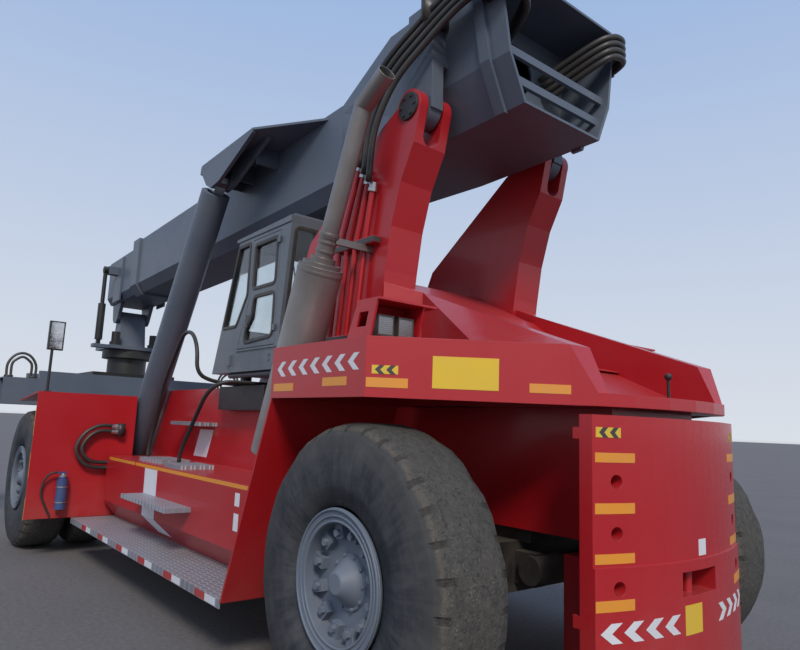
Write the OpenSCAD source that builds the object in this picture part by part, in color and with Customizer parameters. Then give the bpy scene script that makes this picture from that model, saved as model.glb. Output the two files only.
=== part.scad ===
// Reach stacker for shipping containers, parked with its boom down and its spreader drawn in.
// Frame: +X forward, +Y left, +Z up, millimetres. Modules write X from the rear axle,
// and from_rear_axle() moves them so that the origin is under the middle of the whole machine.

/* [Wheels] */
// Distance from the rear axle to the front axle
wheelbase = 6500; // [6000:50:7200]
// Outer radius of every tyre
tyre_r = 830; // [800:5:850]
// Width of every tyre
tyre_w = 500; // [460:5:510]
// Radius of the rim where the tyre's bead sits
bead_r = 317.5; // [310:0.5:325]
// Outer radius of the rim flange
flange_r = 381; // [370:1:400]
// Middle of a rear tyre from the centre line
rear_wheel_y = 1393; // [1385:1:1410]
// Middle of an inner front tyre from the centre line
dual_inner_y = 1230; // [1225:1:1240]
// Distance between the two front tyres of a side
dual_pitch = 575; // [560:1:590]
// Kingpin from the centre line
kingpin_y = 1180; // [1170:1:1190]
// Radius of the kingpin
kingpin_r = 60; // [50:1:70]
// Number of cleats that clamp a rim
cleats = 12; // [8:1:16]

/* [Chassis] */
// Outer face of the frame's side wall from the centre line
frame_half_w = 600; // [580:1:610]
// Thickness of the frame's side walls
frame_wall = 30; // [20:1:40]
// Height of the platform on top of the frame
platform_z = 1980; // [1950:5:2000]
// Height of the side deck over the tanks
side_deck_z = 1160; // [1120:5:1200]
// Outer face of the side tanks from the centre line
tank_half_w = 1300; // [1250:5:1350]
// Underside of the side tanks, level with the footboards
tank_low_z = 460; // [430:5:480]
// Outer edge of the front fenders from the centre line
fender_half_w = 2100; // [2080:5:2120]
// Face of the front fenders from the rear axle
fender_x = 5490; // [5450:5:5520]
// Top of the front fenders
fender_top_z = 1880; // [1850:5:1900]

/* [Rear deck] */
// Half width of the rear deck over the steered wheels
deck_half_w = 1630; // [1600:5:1650]
// Top edge of the deck's side panels
deck_top_z = 2110; // [2080:5:2140]
// Bottom edge of the deck's side panels
deck_low_z = 1790; // [1760:5:1800]
// Thickness of the deck's plates
deck_plate = 20; // [12:1:30]
// Half width of the counterweight
ballast_half_w = 770; // [740:5:780]
// Front face of the counterweight behind the rear axle
ballast_front = 890; // [885:1:900]
// Rear end of the counterweight behind the rear axle
ballast_rear = 1120; // [1080:5:1160]
// Underside of the counterweight
ballast_low_z = 360; // [320:5:420]
// Top of the counterweight
ballast_top_z = 1745; // [1700:5:1760]

/* [Boom] */
// Boom pivot from the rear axle
pivot_x = 500; // [480:1:520]
// Height of the boom pivot
pivot_z = 3930; // [3900:5:3960]
// Radius of the boom's pivot pins
pivot_r = 75; // [60:1:90]
// Fall of the parked boom towards the front, in degrees
boom_fall = 1.4; // [1:0.1:2]
// Half width of the outer boom's side walls
boom_half_w = 430; // [420:1:440]
// Underside of the outer boom below the pivot
boom_under = 110; // [100:1:120]
// Height of the outer boom
boom_h = 880; // [850:1:900]
// Thickness of the outer boom's plates
boom_wall = 20; // [12:1:25]
// Length of the outer boom ahead of the pivot
boom_front = 7700; // [7500:10:7800]
// Length of the outer boom behind the pivot
boom_tail = 720; // [700:5:740]
// Gap between the outer and the inner boom
boom_gap = 28; // [20:1:35]
// Thickness of the inner boom's plates
inner_wall = 16; // [10:1:20]
// Start of the inner boom behind the outer boom's front end
inner_in = 7500; // [7400:10:7600]

/* [Spreader] */
// Slewing axis from the rear axle
slew_x = 9500; // [9450:5:9600]
// Height of the pin that carries the head
tip_z = 3420; // [3400:5:3450]
// Radius of the head's pin
tip_r = 60; // [50:1:70]
// Underside of the spreader's end beams
lock_beam_z = 1790; // [1780:1:1820]
// Half length of the spreader over its end beams
spreader_half_l = 3029; // [3020:1:3040]
// Length of an end beam across the spreader
end_beam_l = 2438; // [2430:1:2445]
// Height of the spreader's main frame
main_beam_h = 420; // [400:5:440]

/* [Lift cylinders] */
// Middle of a lift cylinder from the centre line
lift_y = 790; // [785:1:795]
// Foot pin from the rear axle
foot_x = 6150; // [6130:1:6170]
// Height of the foot pin
foot_z = 1000; // [990:1:1010]
// Rod eye's pin from the rear axle
eye_x = 3970; // [3950:1:3990]
// Height of the rod eye's pin
eye_z = 4360; // [4350:1:4370]
// Outer radius of a barrel
barrel_r = 162; // [150:1:164]
// Radius of a rod
rod_r = 100; // [90:1:110]
// Length of a barrel from its foot pin
barrel_l = 3840; // [3800:5:3860]

/* [Cab] */
// Half width of the cab
cab_half_w = 750; // [720:1:760]
// Underside of the cab
cab_low_z = 2120; // [2100:1:2140]
// Thickness of the cab's panels and door
cab_wall = 40; // [30:1:50]
// Door hinge from the rear axle
door_hinge_x = 2480; // [2470:1:2490]
// Door hinge from the centre line
door_hinge_y = 765; // [762:1:775]

/* [Hidden] */
$fn = 64;
// Clearance of a shaft in its bore, and of a seat that moves
run_gap = 0.3;
// Extra reach of a cut past the face that it opens
cut = 5;

front_end = slew_x + end_beam_l / 2;
// The footboards end flush with the deck's sides
footboard_half_w = deck_half_w;
rear_axle_x = -(front_end - ballast_rear) / 2;
axle_z = tyre_r;
dual_outer_y = dual_inner_y + dual_pitch;
front_axle_x = wheelbase;

red = [0.66, 0.05, 0.07];
slate = [0.19, 0.22, 0.26];
cab_grey = [0.25, 0.28, 0.31];
rim_grey = [0.42, 0.46, 0.50];
rubber = [0.13, 0.12, 0.11];
black = [0.07, 0.07, 0.08];
galvanised = [0.55, 0.56, 0.57];
alloy = [0.62, 0.60, 0.58];
chrome = [0.80, 0.80, 0.82];

module from_rear_axle() translate([rear_axle_x, 0, 0]) children();

module both_sides() {
    children();
    mirror([0, 1, 0]) children();
}

// Plate with its outline in X and Z, from y0 outward by its thickness
module upright_plate(outline, y0, thick)
    translate([0, y0 + thick, 0]) rotate([90, 0, 0]) linear_extrude(thick) polygon(outline);

// Bar with its outline in Y and Z, from x0 forward by its length
module lengthwise_bar(outline, x0, length)
    translate([x0, 0, 0]) rotate([90, 0, 90]) linear_extrude(length) polygon(outline);

// Round bar along Y, from y0 outward
module cross_bar(x, z, y0, length, r)
    translate([x, y0, z]) rotate([-90, 0, 0]) cylinder(h = length, r = r);

function sum_of(list, i = 0) = i >= len(list) ? [0, 0, 0] : list[i] + sum_of(list, i + 1);
function middle(ring) = sum_of(ring) / len(ring);
function ring_normal(ring) = let (n = len(ring), c = middle(ring))
    sum_of([for (j = [0:n - 1]) cross(ring[j] - c, ring[(j + 1) % n] - c)]);

// Solid between sections of equal point count, each a list of [x, y, z] points, in either turning sense
module skin(sections) {
    n = len(sections[0]);
    m = len(sections);
    forward = middle(sections[1]) - middle(sections[0]);
    turns_back = ring_normal(sections[0]) * forward < 0;
    rings = turns_back ? [for (s = sections) [for (j = [n - 1:-1:0]) s[j]]] : sections;
    points = [for (s = rings) for (p = s) p];
    sides = [for (i = [0:m - 2]) for (j = [0:n - 1]) for (half = [0, 1])
        half == 0 ? [i * n + j, (i + 1) * n + j, (i + 1) * n + (j + 1) % n]
            : [i * n + j, (i + 1) * n + (j + 1) % n, i * n + (j + 1) % n]];
    first = [for (j = [0:n - 1]) j];
    last = [for (j = [n - 1:-1:0]) (m - 1) * n + j];
    polyhedron(points, concat(sides, [first], [last]), convexity = 6);
}

function unit(v) = v / norm(v);
function tangent(path, i) = unit(path[min(i + 1, len(path) - 1)] - path[max(i - 1, 0)]);

// Round tube along a path of points
module bent_tube(path, r, sides = 10, across = [0, 1, 0]) {
    rings = [for (i = [0:len(path) - 1])
        let (t = tangent(path, i), u = unit(across - (across * t) * t), v = cross(t, u))
        [for (k = [0:sides - 1]) path[i] + r * (cos(360 * k / sides) * u + sin(360 * k / sides) * v)]];
    skin(rings);
}

// Children drawn in the boom's own frame: x along the boom from its pivot, z square to it
module in_boom() translate([pivot_x, 0, pivot_z]) rotate([0, boom_fall, 0]) children();

/* wheels */

// Half sections turned about the wheel's axis, which lies along Y
module turned(y) translate([0, y, axle_z]) rotate([-90, 0, 0]) rotate_extrude($fn = 96) children();

tyre_bead_half = 195;
module tyre_section() {
    half = tyre_w / 2;
    polygon([[bead_r + run_gap, -tyre_bead_half], [flange_r + 10, -tyre_bead_half - 8],
        [tyre_r * 0.6, -half + 10], [tyre_r * 0.7, -half], [tyre_r * 0.87, -half + 12],
        [tyre_r - 38, -half + 32], [tyre_r - 8, -half + 78], [tyre_r, -half + 140],
        [tyre_r, half - 140], [tyre_r - 8, half - 78],
        [tyre_r - 38, half - 32], [tyre_r * 0.87, half - 12], [tyre_r * 0.7, half],
        [tyre_r * 0.6, half - 10], [flange_r + 10, tyre_bead_half + 8], [bead_r + run_gap,
            tyre_bead_half]]);
}

module tyre(y) turned(y) tyre_section();

rim_t = 16;
flange_y = tyre_bead_half + 15;
// Rim barrel with its two flanges
module rim_barrel(y) turned(y)
    polygon([[bead_r - rim_t, -flange_y - 12], [bead_r, -flange_y - 12], [flange_r - 12, -flange_y - 22],
        [flange_r, -flange_y - 12], [flange_r - 8, -flange_y + 6], [bead_r, -flange_y + 12],
        [bead_r, flange_y - 12], [flange_r - 8, flange_y - 6], [flange_r, flange_y + 12],
        [flange_r - 12, flange_y + 22], [bead_r, flange_y + 12], [bead_r - rim_t, flange_y + 12]]);

spindle_r = 90;
hub_r = 215;
// Hub with its domed cap and the cleats that clamp the rim; face_y is the plane of the hub's face
module hub(face_y, depth, bore_r) {
    turned(face_y)
        polygon([[bore_r, -depth], [hub_r, -depth], [hub_r, -40], [bead_r - rim_t, -40],
            [bead_r - rim_t, 0], [150, 0], [142, 12], [128, 12], [60, 95], [52, 100], [0, 100],
            [0, 10], [bore_r, 10]]);
    for (i = [0:cleats - 1])
        translate([0, face_y, axle_z]) rotate([0, 360 * (i + 0.5) / cleats, 0]) {
            translate([bead_r - rim_t - 82, 0, -32]) cube([84, 42, 64]);
            translate([bead_r - rim_t - 52, 40, 0]) rotate([-90, 0, 0]) cylinder(h = 26, r = 21, $fn = 6);
        }
}

rear_hub_face = 130;
module rear_rim() color(rim_grey) {
    rim_barrel(rear_wheel_y);
    hub(rear_wheel_y + rear_hub_face, 210, spindle_r + run_gap);
}

front_spindle_r = 140;
module front_rims() translate([front_axle_x, 0, 0]) color(rim_grey) {
    rim_barrel(dual_inner_y);
    rim_barrel(dual_outer_y);
    turned(dual_inner_y) polygon([[bead_r - rim_t - 20, -flange_y - 12], [bead_r - rim_t, -flange_y - 12],
        [bead_r - rim_t, dual_pitch + 120], [bead_r - rim_t - 20, dual_pitch + 120]]);
    hub(dual_outer_y + rear_hub_face, 400, front_spindle_r + run_gap);
}

module rear_tyre() color(rubber) tyre(rear_wheel_y);
module front_tyres() translate([front_axle_x, 0, 0]) color(rubber) {
    tyre(dual_inner_y);
    tyre(dual_outer_y);
}

/* axles */

knuckle_half_h = 165;
ear_t = 75;
ear_gap = 5;
fork_half_w = 115;
module steer_axle() color(black) {
    beam_half_h = 150;
    for (level = [knuckle_half_h + ear_gap, -knuckle_half_h - ear_gap - ear_t])
        both_sides() translate([0, 0, axle_z + level])
            linear_extrude(ear_t) {
                translate([-fork_half_w, kingpin_y - 260]) square([2 * fork_half_w, 260]);
                translate([0, kingpin_y]) circle(fork_half_w);
            }
    both_sides() {
        translate([-fork_half_w, kingpin_y - 300, axle_z - knuckle_half_h - ear_gap - ear_t])
            cube([2 * fork_half_w, 120, 2 * (knuckle_half_h + ear_gap + ear_t)]);
        translate([0, kingpin_y, axle_z - knuckle_half_h - ear_gap - 1])
            cylinder(h = 2 * (knuckle_half_h + ear_gap) + 2, r = kingpin_r);
    }
    translate([-170, -kingpin_y + 290, axle_z - beam_half_h])
        cube([340, 2 * kingpin_y - 580, 2 * beam_half_h]);
    translate([-260, -380, axle_z + beam_half_h - cut]) cube([520, 760,
        frame_rear_z - axle_z - beam_half_h + cut]);
    // Steering cylinder behind the beam
    cross_bar(-310, axle_z, -450, 900, 85);
    for (y = [-420, 340]) translate([-330, y, axle_z - 95]) cube([200, 80, 190]);
}

module knuckle() color(black) {
    difference() {
        union() {
            translate([0, kingpin_y, axle_z - knuckle_half_h]) cylinder(h = 2 * knuckle_half_h, r = 105);
            cross_bar(0, axle_z, kingpin_y + 60, rear_wheel_y + rear_hub_face - kingpin_y - 60, spindle_r);
        }
        translate([0, kingpin_y, axle_z - knuckle_half_h - cut])
            cylinder(h = 2 * (knuckle_half_h + cut), r = kingpin_r + run_gap);
    }
}

axle_box_half = 190;
module drive_axle() translate([front_axle_x, 0, 0]) color(black) {
    translate([-axle_box_half, -940, axle_z - 170]) cube([2 * axle_box_half, 1880, 340]);
    translate([0, 0, axle_z]) rotate([0, 90, 0]) translate([0, 0, -330]) cylinder(h = 560, r = 300);
    cross_bar(0, axle_z, -dual_outer_y - rear_hub_face, 2 * (dual_outer_y + rear_hub_face),
        front_spindle_r);
    for (y = [-frame_half_w, frame_half_w - 140])
        translate([-150, y, axle_z + 165]) cube([300, 140, frame_axle_z - axle_z - 165]);
}

/* chassis */

frame_rear_z = 1060;
frame_axle_z = 1060;
frame_low_z = 620;
engine_low_z = 800;
frame_rear_half = 440;
frame_front = 7050;
module main_frame() color(red) {
    walls = [[1150, frame_low_z], [foot_x + 90, frame_low_z], [foot_x + 90, frame_axle_z],
        [6900, frame_axle_z], [6900, 900], [frame_front, 900], [frame_front, 1450], [6300, 1500],
        [5650, platform_z - 20], [1150, platform_z - 20]];
    both_sides() upright_plate(walls, frame_half_w - frame_wall, frame_wall);
    // Cross plates
    for (x = [3000, 4200, 5400])
        translate([x, -frame_half_w + frame_wall, frame_low_z])
            cube([frame_wall, 2 * (frame_half_w - frame_wall), 300]);
    translate([1150, -frame_half_w + frame_wall, frame_low_z])
        cube([frame_wall, 2 * (frame_half_w - frame_wall), platform_z - 20 - frame_low_z]);
    translate([frame_front - frame_wall, -frame_half_w + frame_wall, 900])
        cube([frame_wall, 2 * (frame_half_w - frame_wall), 550]);
    // Bearers under the engine
    for (x = [1450, 2600])
        translate([x, -frame_half_w + frame_wall, engine_low_z - 100])
            cube([120, 2 * (frame_half_w - frame_wall), 100]);
    // Rear box between the steered wheels
    translate([-ballast_front + 20, -frame_rear_half, frame_rear_z])
        cube([ballast_front - 20 + 1150, 2 * frame_rear_half, deck_low_z - frame_rear_z]);
}

foot_ear_t = 50;
foot_gap = 5;
lift_eye_half = 60;
// Ears with their pins for the feet of the lift cylinders, on the frame's walls
module cylinder_feet() color(red) both_sides() {
    ear_out = lift_y + lift_eye_half + foot_gap + foot_ear_t;
    for (y = [lift_y - lift_eye_half - foot_gap - foot_ear_t, lift_y + lift_eye_half + foot_gap])
        upright_plate([[foot_x - 110, foot_z - 130], [foot_x + 85, foot_z - 130],
            [foot_x + 85, foot_z + 110], [foot_x - 110, foot_z + 110]], y, foot_ear_t);
    translate([foot_x - 110, frame_half_w, foot_z - 220]) cube([195, ear_out - frame_half_w, 95]);
    cross_bar(foot_x, foot_z, frame_half_w, ear_out - frame_half_w, foot_pin_r);
}
foot_pin_r = 55;

tank_rear = 1330;
tank_front = 5400;
module side_tanks() color(red) both_sides()
    lengthwise_bar([[frame_half_w, tank_low_z], [board_in, tank_low_z], [tank_half_w, 650], [tank_half_w,
        side_deck_z],
        [frame_half_w, side_deck_z]], tank_rear, tank_front - tank_rear);

board_t = 8;
board_edge_h = 60;
board_in = 1150;
module footboards() color(galvanised) both_sides() {
    translate([tank_rear, board_in, tank_low_z - board_t])
        cube([tank_front - tank_rear, footboard_half_w - board_in, board_t]);
    translate([tank_rear, footboard_half_w - board_t, tank_low_z - board_edge_h])
        cube([tank_front - tank_rear, board_t, board_edge_h]);
    // Hangers under the tanks
    for (x = [tank_rear + 100:650:tank_front - 100])
        translate([x, board_in - 250, tank_low_z - 40]) cube([60,
            footboard_half_w - board_in + 250 - board_t, 40]);
}

fender_t = 20;
fender_in = 990;
fender_front_in = 6270;
fender_front_out = 6570;
fender_end_z = 1790;
function fender_top(x) = fender_top_z
    - (x - fender_x) * (fender_top_z - fender_end_z) / (fender_front_out - fender_x);
module front_fenders() color(red) both_sides() {
    translate([fender_x, fender_in, 450]) cube([fender_t, fender_half_w - fender_in, fender_top_z - 450]);
    // Top plate, its front corner trimmed towards the frame
    intersection() {
        upright_plate([[fender_x, fender_top_z], [fender_x, fender_top_z - fender_t],
            [fender_front_out, fender_end_z - fender_t], [fender_front_out, fender_end_z]], fender_in,
                fender_half_w - fender_in);
        linear_extrude(3000) polygon([[fender_x - cut, fender_in - cut], [fender_front_in, fender_in - cut],
            [fender_front_out, fender_half_w], [fender_front_out, fender_half_w + cut], [fender_x - cut,
                fender_half_w + cut]]);
    }
    // Bracket to the tank
    translate([tank_front, frame_half_w, 700]) cube([fender_x - tank_front, 500, 400]);
}

deck_bend = 190;
ridge_rear = 840;
valley_half = 600;
valley = [[60, 2190], [-170, 2130], [-790, 1860], [-ballast_rear - cut, 1855]];
lip_x = 953;
lip_half_w = 690;
lip_top_z = 1858;
deck_front = 816;
deck_mid = [[deck_front, deck_half_w], [-deck_bend, deck_half_w], [-ridge_rear, ballast_half_w + 10],
    [-lip_x, lip_half_w]];
function mirrored_y(half) = concat(half, [for (i = [len(half) - 1:-1:0]) [half[i][0], -half[i][1]]]);
// Space under the deck for the steered wheels: inside the side panels and outside the walls under the valley
module deck_hollow() difference() {
    hollow = mirrored_y([[deck_front - deck_plate, deck_half_w - deck_plate], [-deck_bend,
        deck_half_w - deck_plate],
        [-ridge_rear + 5, ballast_half_w - 12]]);
    translate([0, 0, deck_low_z - cut])
        linear_extrude(deck_top_z - deck_plate - deck_low_z + cut) polygon(hollow);
    for (y = [-valley_half - deck_plate, valley_half])
        translate([-ridge_rear, y, deck_low_z]) cube([ridge_rear + deck_front, deck_plate,
            deck_top_z - deck_low_z]);
    upright_plate([[60, 2170], [-170, 2110], [-790, 1840], [-ridge_rear, 1835], [-ridge_rear, 1700], [60,
        1700]],
        -valley_half, 2 * valley_half);
}
module rear_deck() color(red) difference() {
    union() {
        intersection() {
            translate([0, 0, lip_top_z]) linear_extrude(deck_top_z - lip_top_z)
                polygon(mirrored_y(deck_mid));
            upright_plate([[deck_front, lip_top_z], [deck_front, deck_top_z], [-ridge_rear, deck_top_z],
                [-lip_x, lip_top_z]],
                -deck_half_w, 2 * deck_half_w);
        }
        translate([0, 0, deck_low_z]) linear_extrude(lip_top_z - deck_low_z)
            polygon(mirrored_y(concat(deck_mid, [[-ballast_rear + 70, 500], [-ballast_rear + 18, 250],
                [-ballast_rear, 0]])));
    }
    deck_hollow();
    upright_plate(concat(valley, [[-ballast_rear - cut, 3000], [60, 3000]]), -valley_half, 2 * valley_half);
    // Hole for the marker pole
    translate([pole_x, pole_y, deck_low_z - cut]) cylinder(h = 200, r = pole_r + run_gap);
}

// Plates behind the tanks that close the arches of the steered wheels
module rear_skirts() color(red) both_sides()
    upright_plate([[796, deck_low_z], [816, deck_low_z], [1330, 440], [1310, 440]], frame_half_w,
        deck_half_w - frame_half_w);

ridge_x = 540;
ridge_z = 2600;
ridge_foot = [-520, 1200];
hood_half = 545;
hood_front = 1150;
hood_front_z = 2820;
// Ridge beside the valley: a sloped triangle from the deck's corner up to its peak, level along its inner edge
module ridge() {
    z = deck_top_z;
    points = [[-ridge_rear, valley_half, z], [-ridge_rear, ballast_half_w + 10, z], [ridge_foot[0],
        ridge_foot[1], z],
        [ridge_x, valley_half + 20, z], [ridge_x, valley_half, z],
        [ridge_x, valley_half + 20, ridge_z], [ridge_x, valley_half, ridge_z]];
    polyhedron(points, [[4, 3, 2, 1, 0], [5, 6, 0, 1], [5, 1, 2], [5, 2, 3], [6, 5, 3, 4], [6, 4, 0]]);
}
shoulder_x = 708;
// Block that closes the hood against the foot of a post
module hood_shoulder() intersection() {
    linear_extrude(3000) polygon([[ridge_x, valley_half], [ridge_x, valley_half + 20], [shoulder_x,
        post_out], [shoulder_x, valley_half]]);
    upright_plate([[ridge_x, deck_top_z], [shoulder_x, deck_top_z], [shoulder_x, ridge_z + 65], [ridge_x,
        ridge_z]], 0, post_out);
}
module hood_ridges() color(red) both_sides() {
    ridge();
    hood_shoulder();
}

// Middle part ahead of the valley, between the ridges
module rear_hood() color(red) {
    upright_plate([[60, deck_top_z], [60, 2190], [ridge_x, ridge_z - 60], [hood_front, hood_front_z],
        [hood_front, deck_top_z]], -hood_half, 2 * hood_half);
    for (y = [-valley_half, hood_half])
        upright_plate([[60, deck_top_z], [60, 2190], [ridge_x, ridge_z - 60], [ridge_x, deck_top_z]], y,
            valley_half - hood_half);
}

tow_low_z = 820;
tow_h = 125;
tow_half_w = 180;
tow_deep = 150;
tow_pin_r = 25;
tow_pin_in = 80;
ledge_z = 1000;
ledge_out = 12;
// Round pockets beside the reflectors: their heights
pocket_rows = [898, 1157, 1412];
pocket_y = 630;
pocket_r = 35;
ballast_bulge = 140;
function ballast_outline(out) = concat([[-ballast_front, -ballast_half_w]],
    [for (a = [-1:0.125:1]) [-ballast_rear - out + ballast_bulge * a * a, ballast_half_w * a]],
    [[-ballast_front, ballast_half_w]]);
module counterweight() color(red) {
    difference() {
        union() {
            translate([0, 0, ledge_z]) linear_extrude(ballast_top_z - ledge_z)
                polygon(ballast_outline(-ledge_out));
            translate([0, 0, ballast_low_z]) linear_extrude(ledge_z - ballast_low_z)
                polygon(ballast_outline(0));
        }
        // Towing pocket with its pin
        translate([-ballast_rear - cut, -tow_half_w, tow_low_z]) cube([tow_deep, 2 * tow_half_w, tow_h]);
        for (y = [-pocket_y, pocket_y], z = pocket_rows)
            translate([-ballast_rear, y, z]) rotate([0, 90, 0]) cylinder(h = 210, r = pocket_r);
    }
    translate([-ballast_rear + tow_pin_in, 0, tow_low_z - 1]) cylinder(h = tow_h + 2, r = tow_pin_r);
    translate([-ballast_front, -400, ballast_low_z]) cube([ballast_front - 520, 800, 600]);
    translate([-ballast_front, -frame_rear_half, frame_rear_z]) cube([20, 2 * frame_rear_half, 600]);
    // Hinge plates on the front corners
    both_sides() for (z = [700, 1620]) translate([-ballast_front, ballast_half_w - 40, z]) cube([40, 40,
        60]);
}

post_in = 550;
post_out = 850;
post_ear = 75;
ear_r = 130;
post_rear_x = 730;
post_foot_x = 1180;
post_foot_l = 700;
module boom_post() color(red) {
    difference() {
        union() {
            upright_plate([[pivot_x - 125, pivot_z - 30], [pivot_x - 70, pivot_z - 290], [560, 3380],
                [650, 3070],
                [700, 2750], [post_rear_x, 2500], [post_rear_x, deck_top_z], [post_foot_x, deck_top_z],
                [post_foot_x, platform_z], [1900, platform_z], [1880, 2900], [1760, 3150],
                [810, 3870], [pivot_x + 125, pivot_z + 30]], post_in, post_out - post_in);
            cross_bar(pivot_x, pivot_z, post_in, post_out - post_in, ear_r);
            translate([post_foot_x, frame_half_w, side_deck_z])
                cube([post_foot_l, post_out - frame_half_w, platform_z - side_deck_z + 1]);
        }
        // Fork between the two ears, with a round bottom
        translate([pivot_x - 600, post_in + post_ear, pivot_z - 215])
            cube([1400, post_out - post_in - 2 * post_ear, 600]);
        translate([pivot_x - 600, (post_in + post_out) / 2, pivot_z - 215])
            rotate([0, 90, 0]) cylinder(h = 1400, r = (post_out - post_in) / 2 - post_ear);
    }
    cross_bar(pivot_x, pivot_z, post_in + 1, post_out - post_in - 2, pivot_r);
}

module engine_block() color(black)
    translate([1350, -380, engine_low_z]) cube([1500, 760, 900]);

module body_covers() color(red)
    translate([1150, -frame_half_w, platform_z - 20])
        cube([4500, 2 * frame_half_w, 20]);

exhaust_y = 1200;
muffler_r = 165;
exhaust_lean = -21.8;
module exhaust() color(alloy) {
    translate([1270, exhaust_y, 2080]) rotate([0, exhaust_lean, 0]) {
        cylinder(h = 730, r = muffler_r);
        translate([0, 0, -720]) cylinder(h = 1450, r = muffler_r - 3);
        translate([0, 0, 700]) cylinder(h = 60, r = muffler_r - 25);
        translate([0, 0, 740]) cylinder(h = 60, r = 92);
        translate([0, 0, 940]) cylinder(h = 40, r = 72);
        translate([0, 0, 740]) cylinder(h = 1180, r = 65);
        // Elbow and its open mouth
        translate([0, 0, 1880]) rotate([0, -38, 0]) difference() {
            cylinder(h = 300, r = 66);
            translate([0, 0, 120]) cylinder(h = 300, r = 60);
        }
    }
    // Brackets on the frame's wall and the post
    for (place = [[1490, 1500], [1360, 1860]])
        translate([place[0], post_out, place[1]]) cube([60, exhaust_y - post_out - 60, 60]);
    translate([862, post_out, 2905]) cube([22, exhaust_y - post_out - 30, 50]);
}

pipe_count = 4;
pipe_step = 110;
pipe_r = 22;
pipe_y = post_out + 45;
// Pipes up the outer face of a post: [x at the foot, x in the middle, x at the top, height of the top]
pipe_rows = [for (i = [0:pipe_count - 1]) [1330 - pipe_step * i, 1240 - pipe_step * i, 1010 - 60 * i,
    3620 - 70 * i]];
module post_pipes() color(red) both_sides() {
    for (level = [[2250, 880, 470], [2960, 760, 500]])
        translate([level[1], post_out, level[0]]) cube([level[2], 70, 50]);
    for (row = pipe_rows) {
        bent_tube([[row[0], pipe_y, platform_z + 60], [row[0], pipe_y, 2180], [row[1], pipe_y, 2960],
            [row[2], pipe_y, row[3]]], pipe_r, 8);
        translate([row[0], pipe_y, platform_z + 20]) cylinder(h = 60, r = pipe_r + 10);
    }
}
rail_pipe_r = 20;
rail_y = 1100;
// Grab rails beside the steps: one hoop down to the platform and one slanted rail to the cab
module handrails() color(black) both_sides() {
    bent_tube([[4590, rail_y, side_deck_z], [4590, rail_y, 1300], [4300, rail_y, 2000], [3870, rail_y,
        2490], [3740, rail_y, 2540],
        [3560, rail_y, 2500], [3420, rail_y, 2340], [3390, rail_y, 2080], [3390, 900, 2010], [3390,
            frame_half_w - 60, 2000]],
        rail_pipe_r, 8, [1, 0.6, 0.2]);
    bent_tube([[3650, rail_y, side_deck_z], [3650, rail_y, 1290], [3100, rail_y, 1900], [2990, 1000,
        2000], [2960, 800, 2003],
        [2960, frame_half_w - 60, 2000]], rail_pipe_r, 8, [1, 0.6, 0.2]);
}

// Grated treads: [x, inner y, length, width, height of the underside]
tread_rows = [[2750, tank_half_w, 1250, 230, 830], [3930, 870, 620, 330, side_deck_z], [3180, 930, 400,
    340, side_deck_z],
    [3920, frame_half_w, 830, 220, 1560]];
module step_treads() color(galvanised) both_sides()
    for (row = tread_rows) translate([row[0], row[1], row[4]]) cube([row[2], row[3], 40]);

hose_x = fender_x - 62;
bottle_x = fender_x - 80;
// Hose loops on a fender's rear: [radius of the hose, step of its loop]
loop_rows = [0, 62];
module fender_hoses() color(black) {
    both_sides() {
        for (z = [1390, 990]) translate([hose_x - 26, 1130, z]) cube([fender_x - run_gap - hose_x + 26,
            80, 150]);
        for (d = loop_rows)
            bent_tube([[hose_x, 1205, 1500 - d], [hose_x - 10, 1400, 1510 - d], [hose_x - 15,
                1570 - 0.7 * d, 1420 - 0.7 * d],
                [hose_x - 15, 1655 - d, 1240], [hose_x - 15, 1570 - 0.7 * d, 1080 + 0.7 * d],
                    [hose_x - 10, 1420, 1020 + d],
                [hose_x, 1205, 1025 + d]], 22, 8, [1, 0, 0]);
    }
    // Hose of the extinguisher
    bent_tube([[bottle_x, 1820 + run_gap, 967], [bottle_x, 1850, 967], [bottle_x + 5, 1890, 955],
        [bottle_x + 30, 1945, 870], [bottle_x + 50, 1955, 720],
        [bottle_x + 60, 1890, 570], [fender_x - 12 - run_gap, 1850, 490], [fender_x - 12 - run_gap, 1845,
            470]], 12, 8, [1, 0, 0]);
}

mirror_y = 2000;
mirror_x = 5570;
module mirrors() color(black) both_sides() {
    upright_plate([[mirror_x - 40, fender_top(mirror_x - 40)], [mirror_x + 40, fender_top(mirror_x + 40)],
        [mirror_x + 40, fender_top_z + 10], [mirror_x - 40, fender_top_z + 10]], mirror_y - 40, 80);
    translate([mirror_x, mirror_y, fender_top_z + 9]) cylinder(h = 600, r = 16);
    translate([mirror_x - 30, mirror_y - 110, 2370]) cube([60, 165, 340]);
}

module extinguisher() color([0.1, 0.2, 0.5])
    translate([bottle_x, 1760, 560]) {
        cylinder(h = 330, r = 60);
        translate([0, 0, 329]) cylinder(h = 30, r = 44);
        translate([0, 0, 358]) cylinder(h = 40, r = 20);
        translate([-20, -30, 397]) cube([40, 90, 20]);
        translate([50, -20, 120]) cube([30, 40, 60]);
    }

lamp_out = 1460;
lamp_in = 1100;
lamp_plate = 14;
module lamp_boxes() color(red) both_sides() {
    side = [[20, deck_top_z], [260, deck_top_z], [150, 2350], [-40, 2350]];
    // Outer side with its slot, and the inner side
    difference() {
        upright_plate(side, lamp_out - lamp_plate, lamp_plate);
        upright_plate([[60, 2205], [150, 2205], [125, 2290], [35, 2290]], lamp_out - lamp_plate - cut,
            lamp_plate + 2 * cut);
    }
    upright_plate(side, lamp_in, lamp_plate);
    upright_plate([[-60, 2350], [155, 2350], [155, 2364], [-60, 2364]], lamp_in - 80,
        lamp_out - lamp_in + 80);
    upright_plate([[246, deck_top_z], [260, deck_top_z], [150, 2350], [136, 2350]], lamp_in,
        lamp_out - lamp_in);
}

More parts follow.
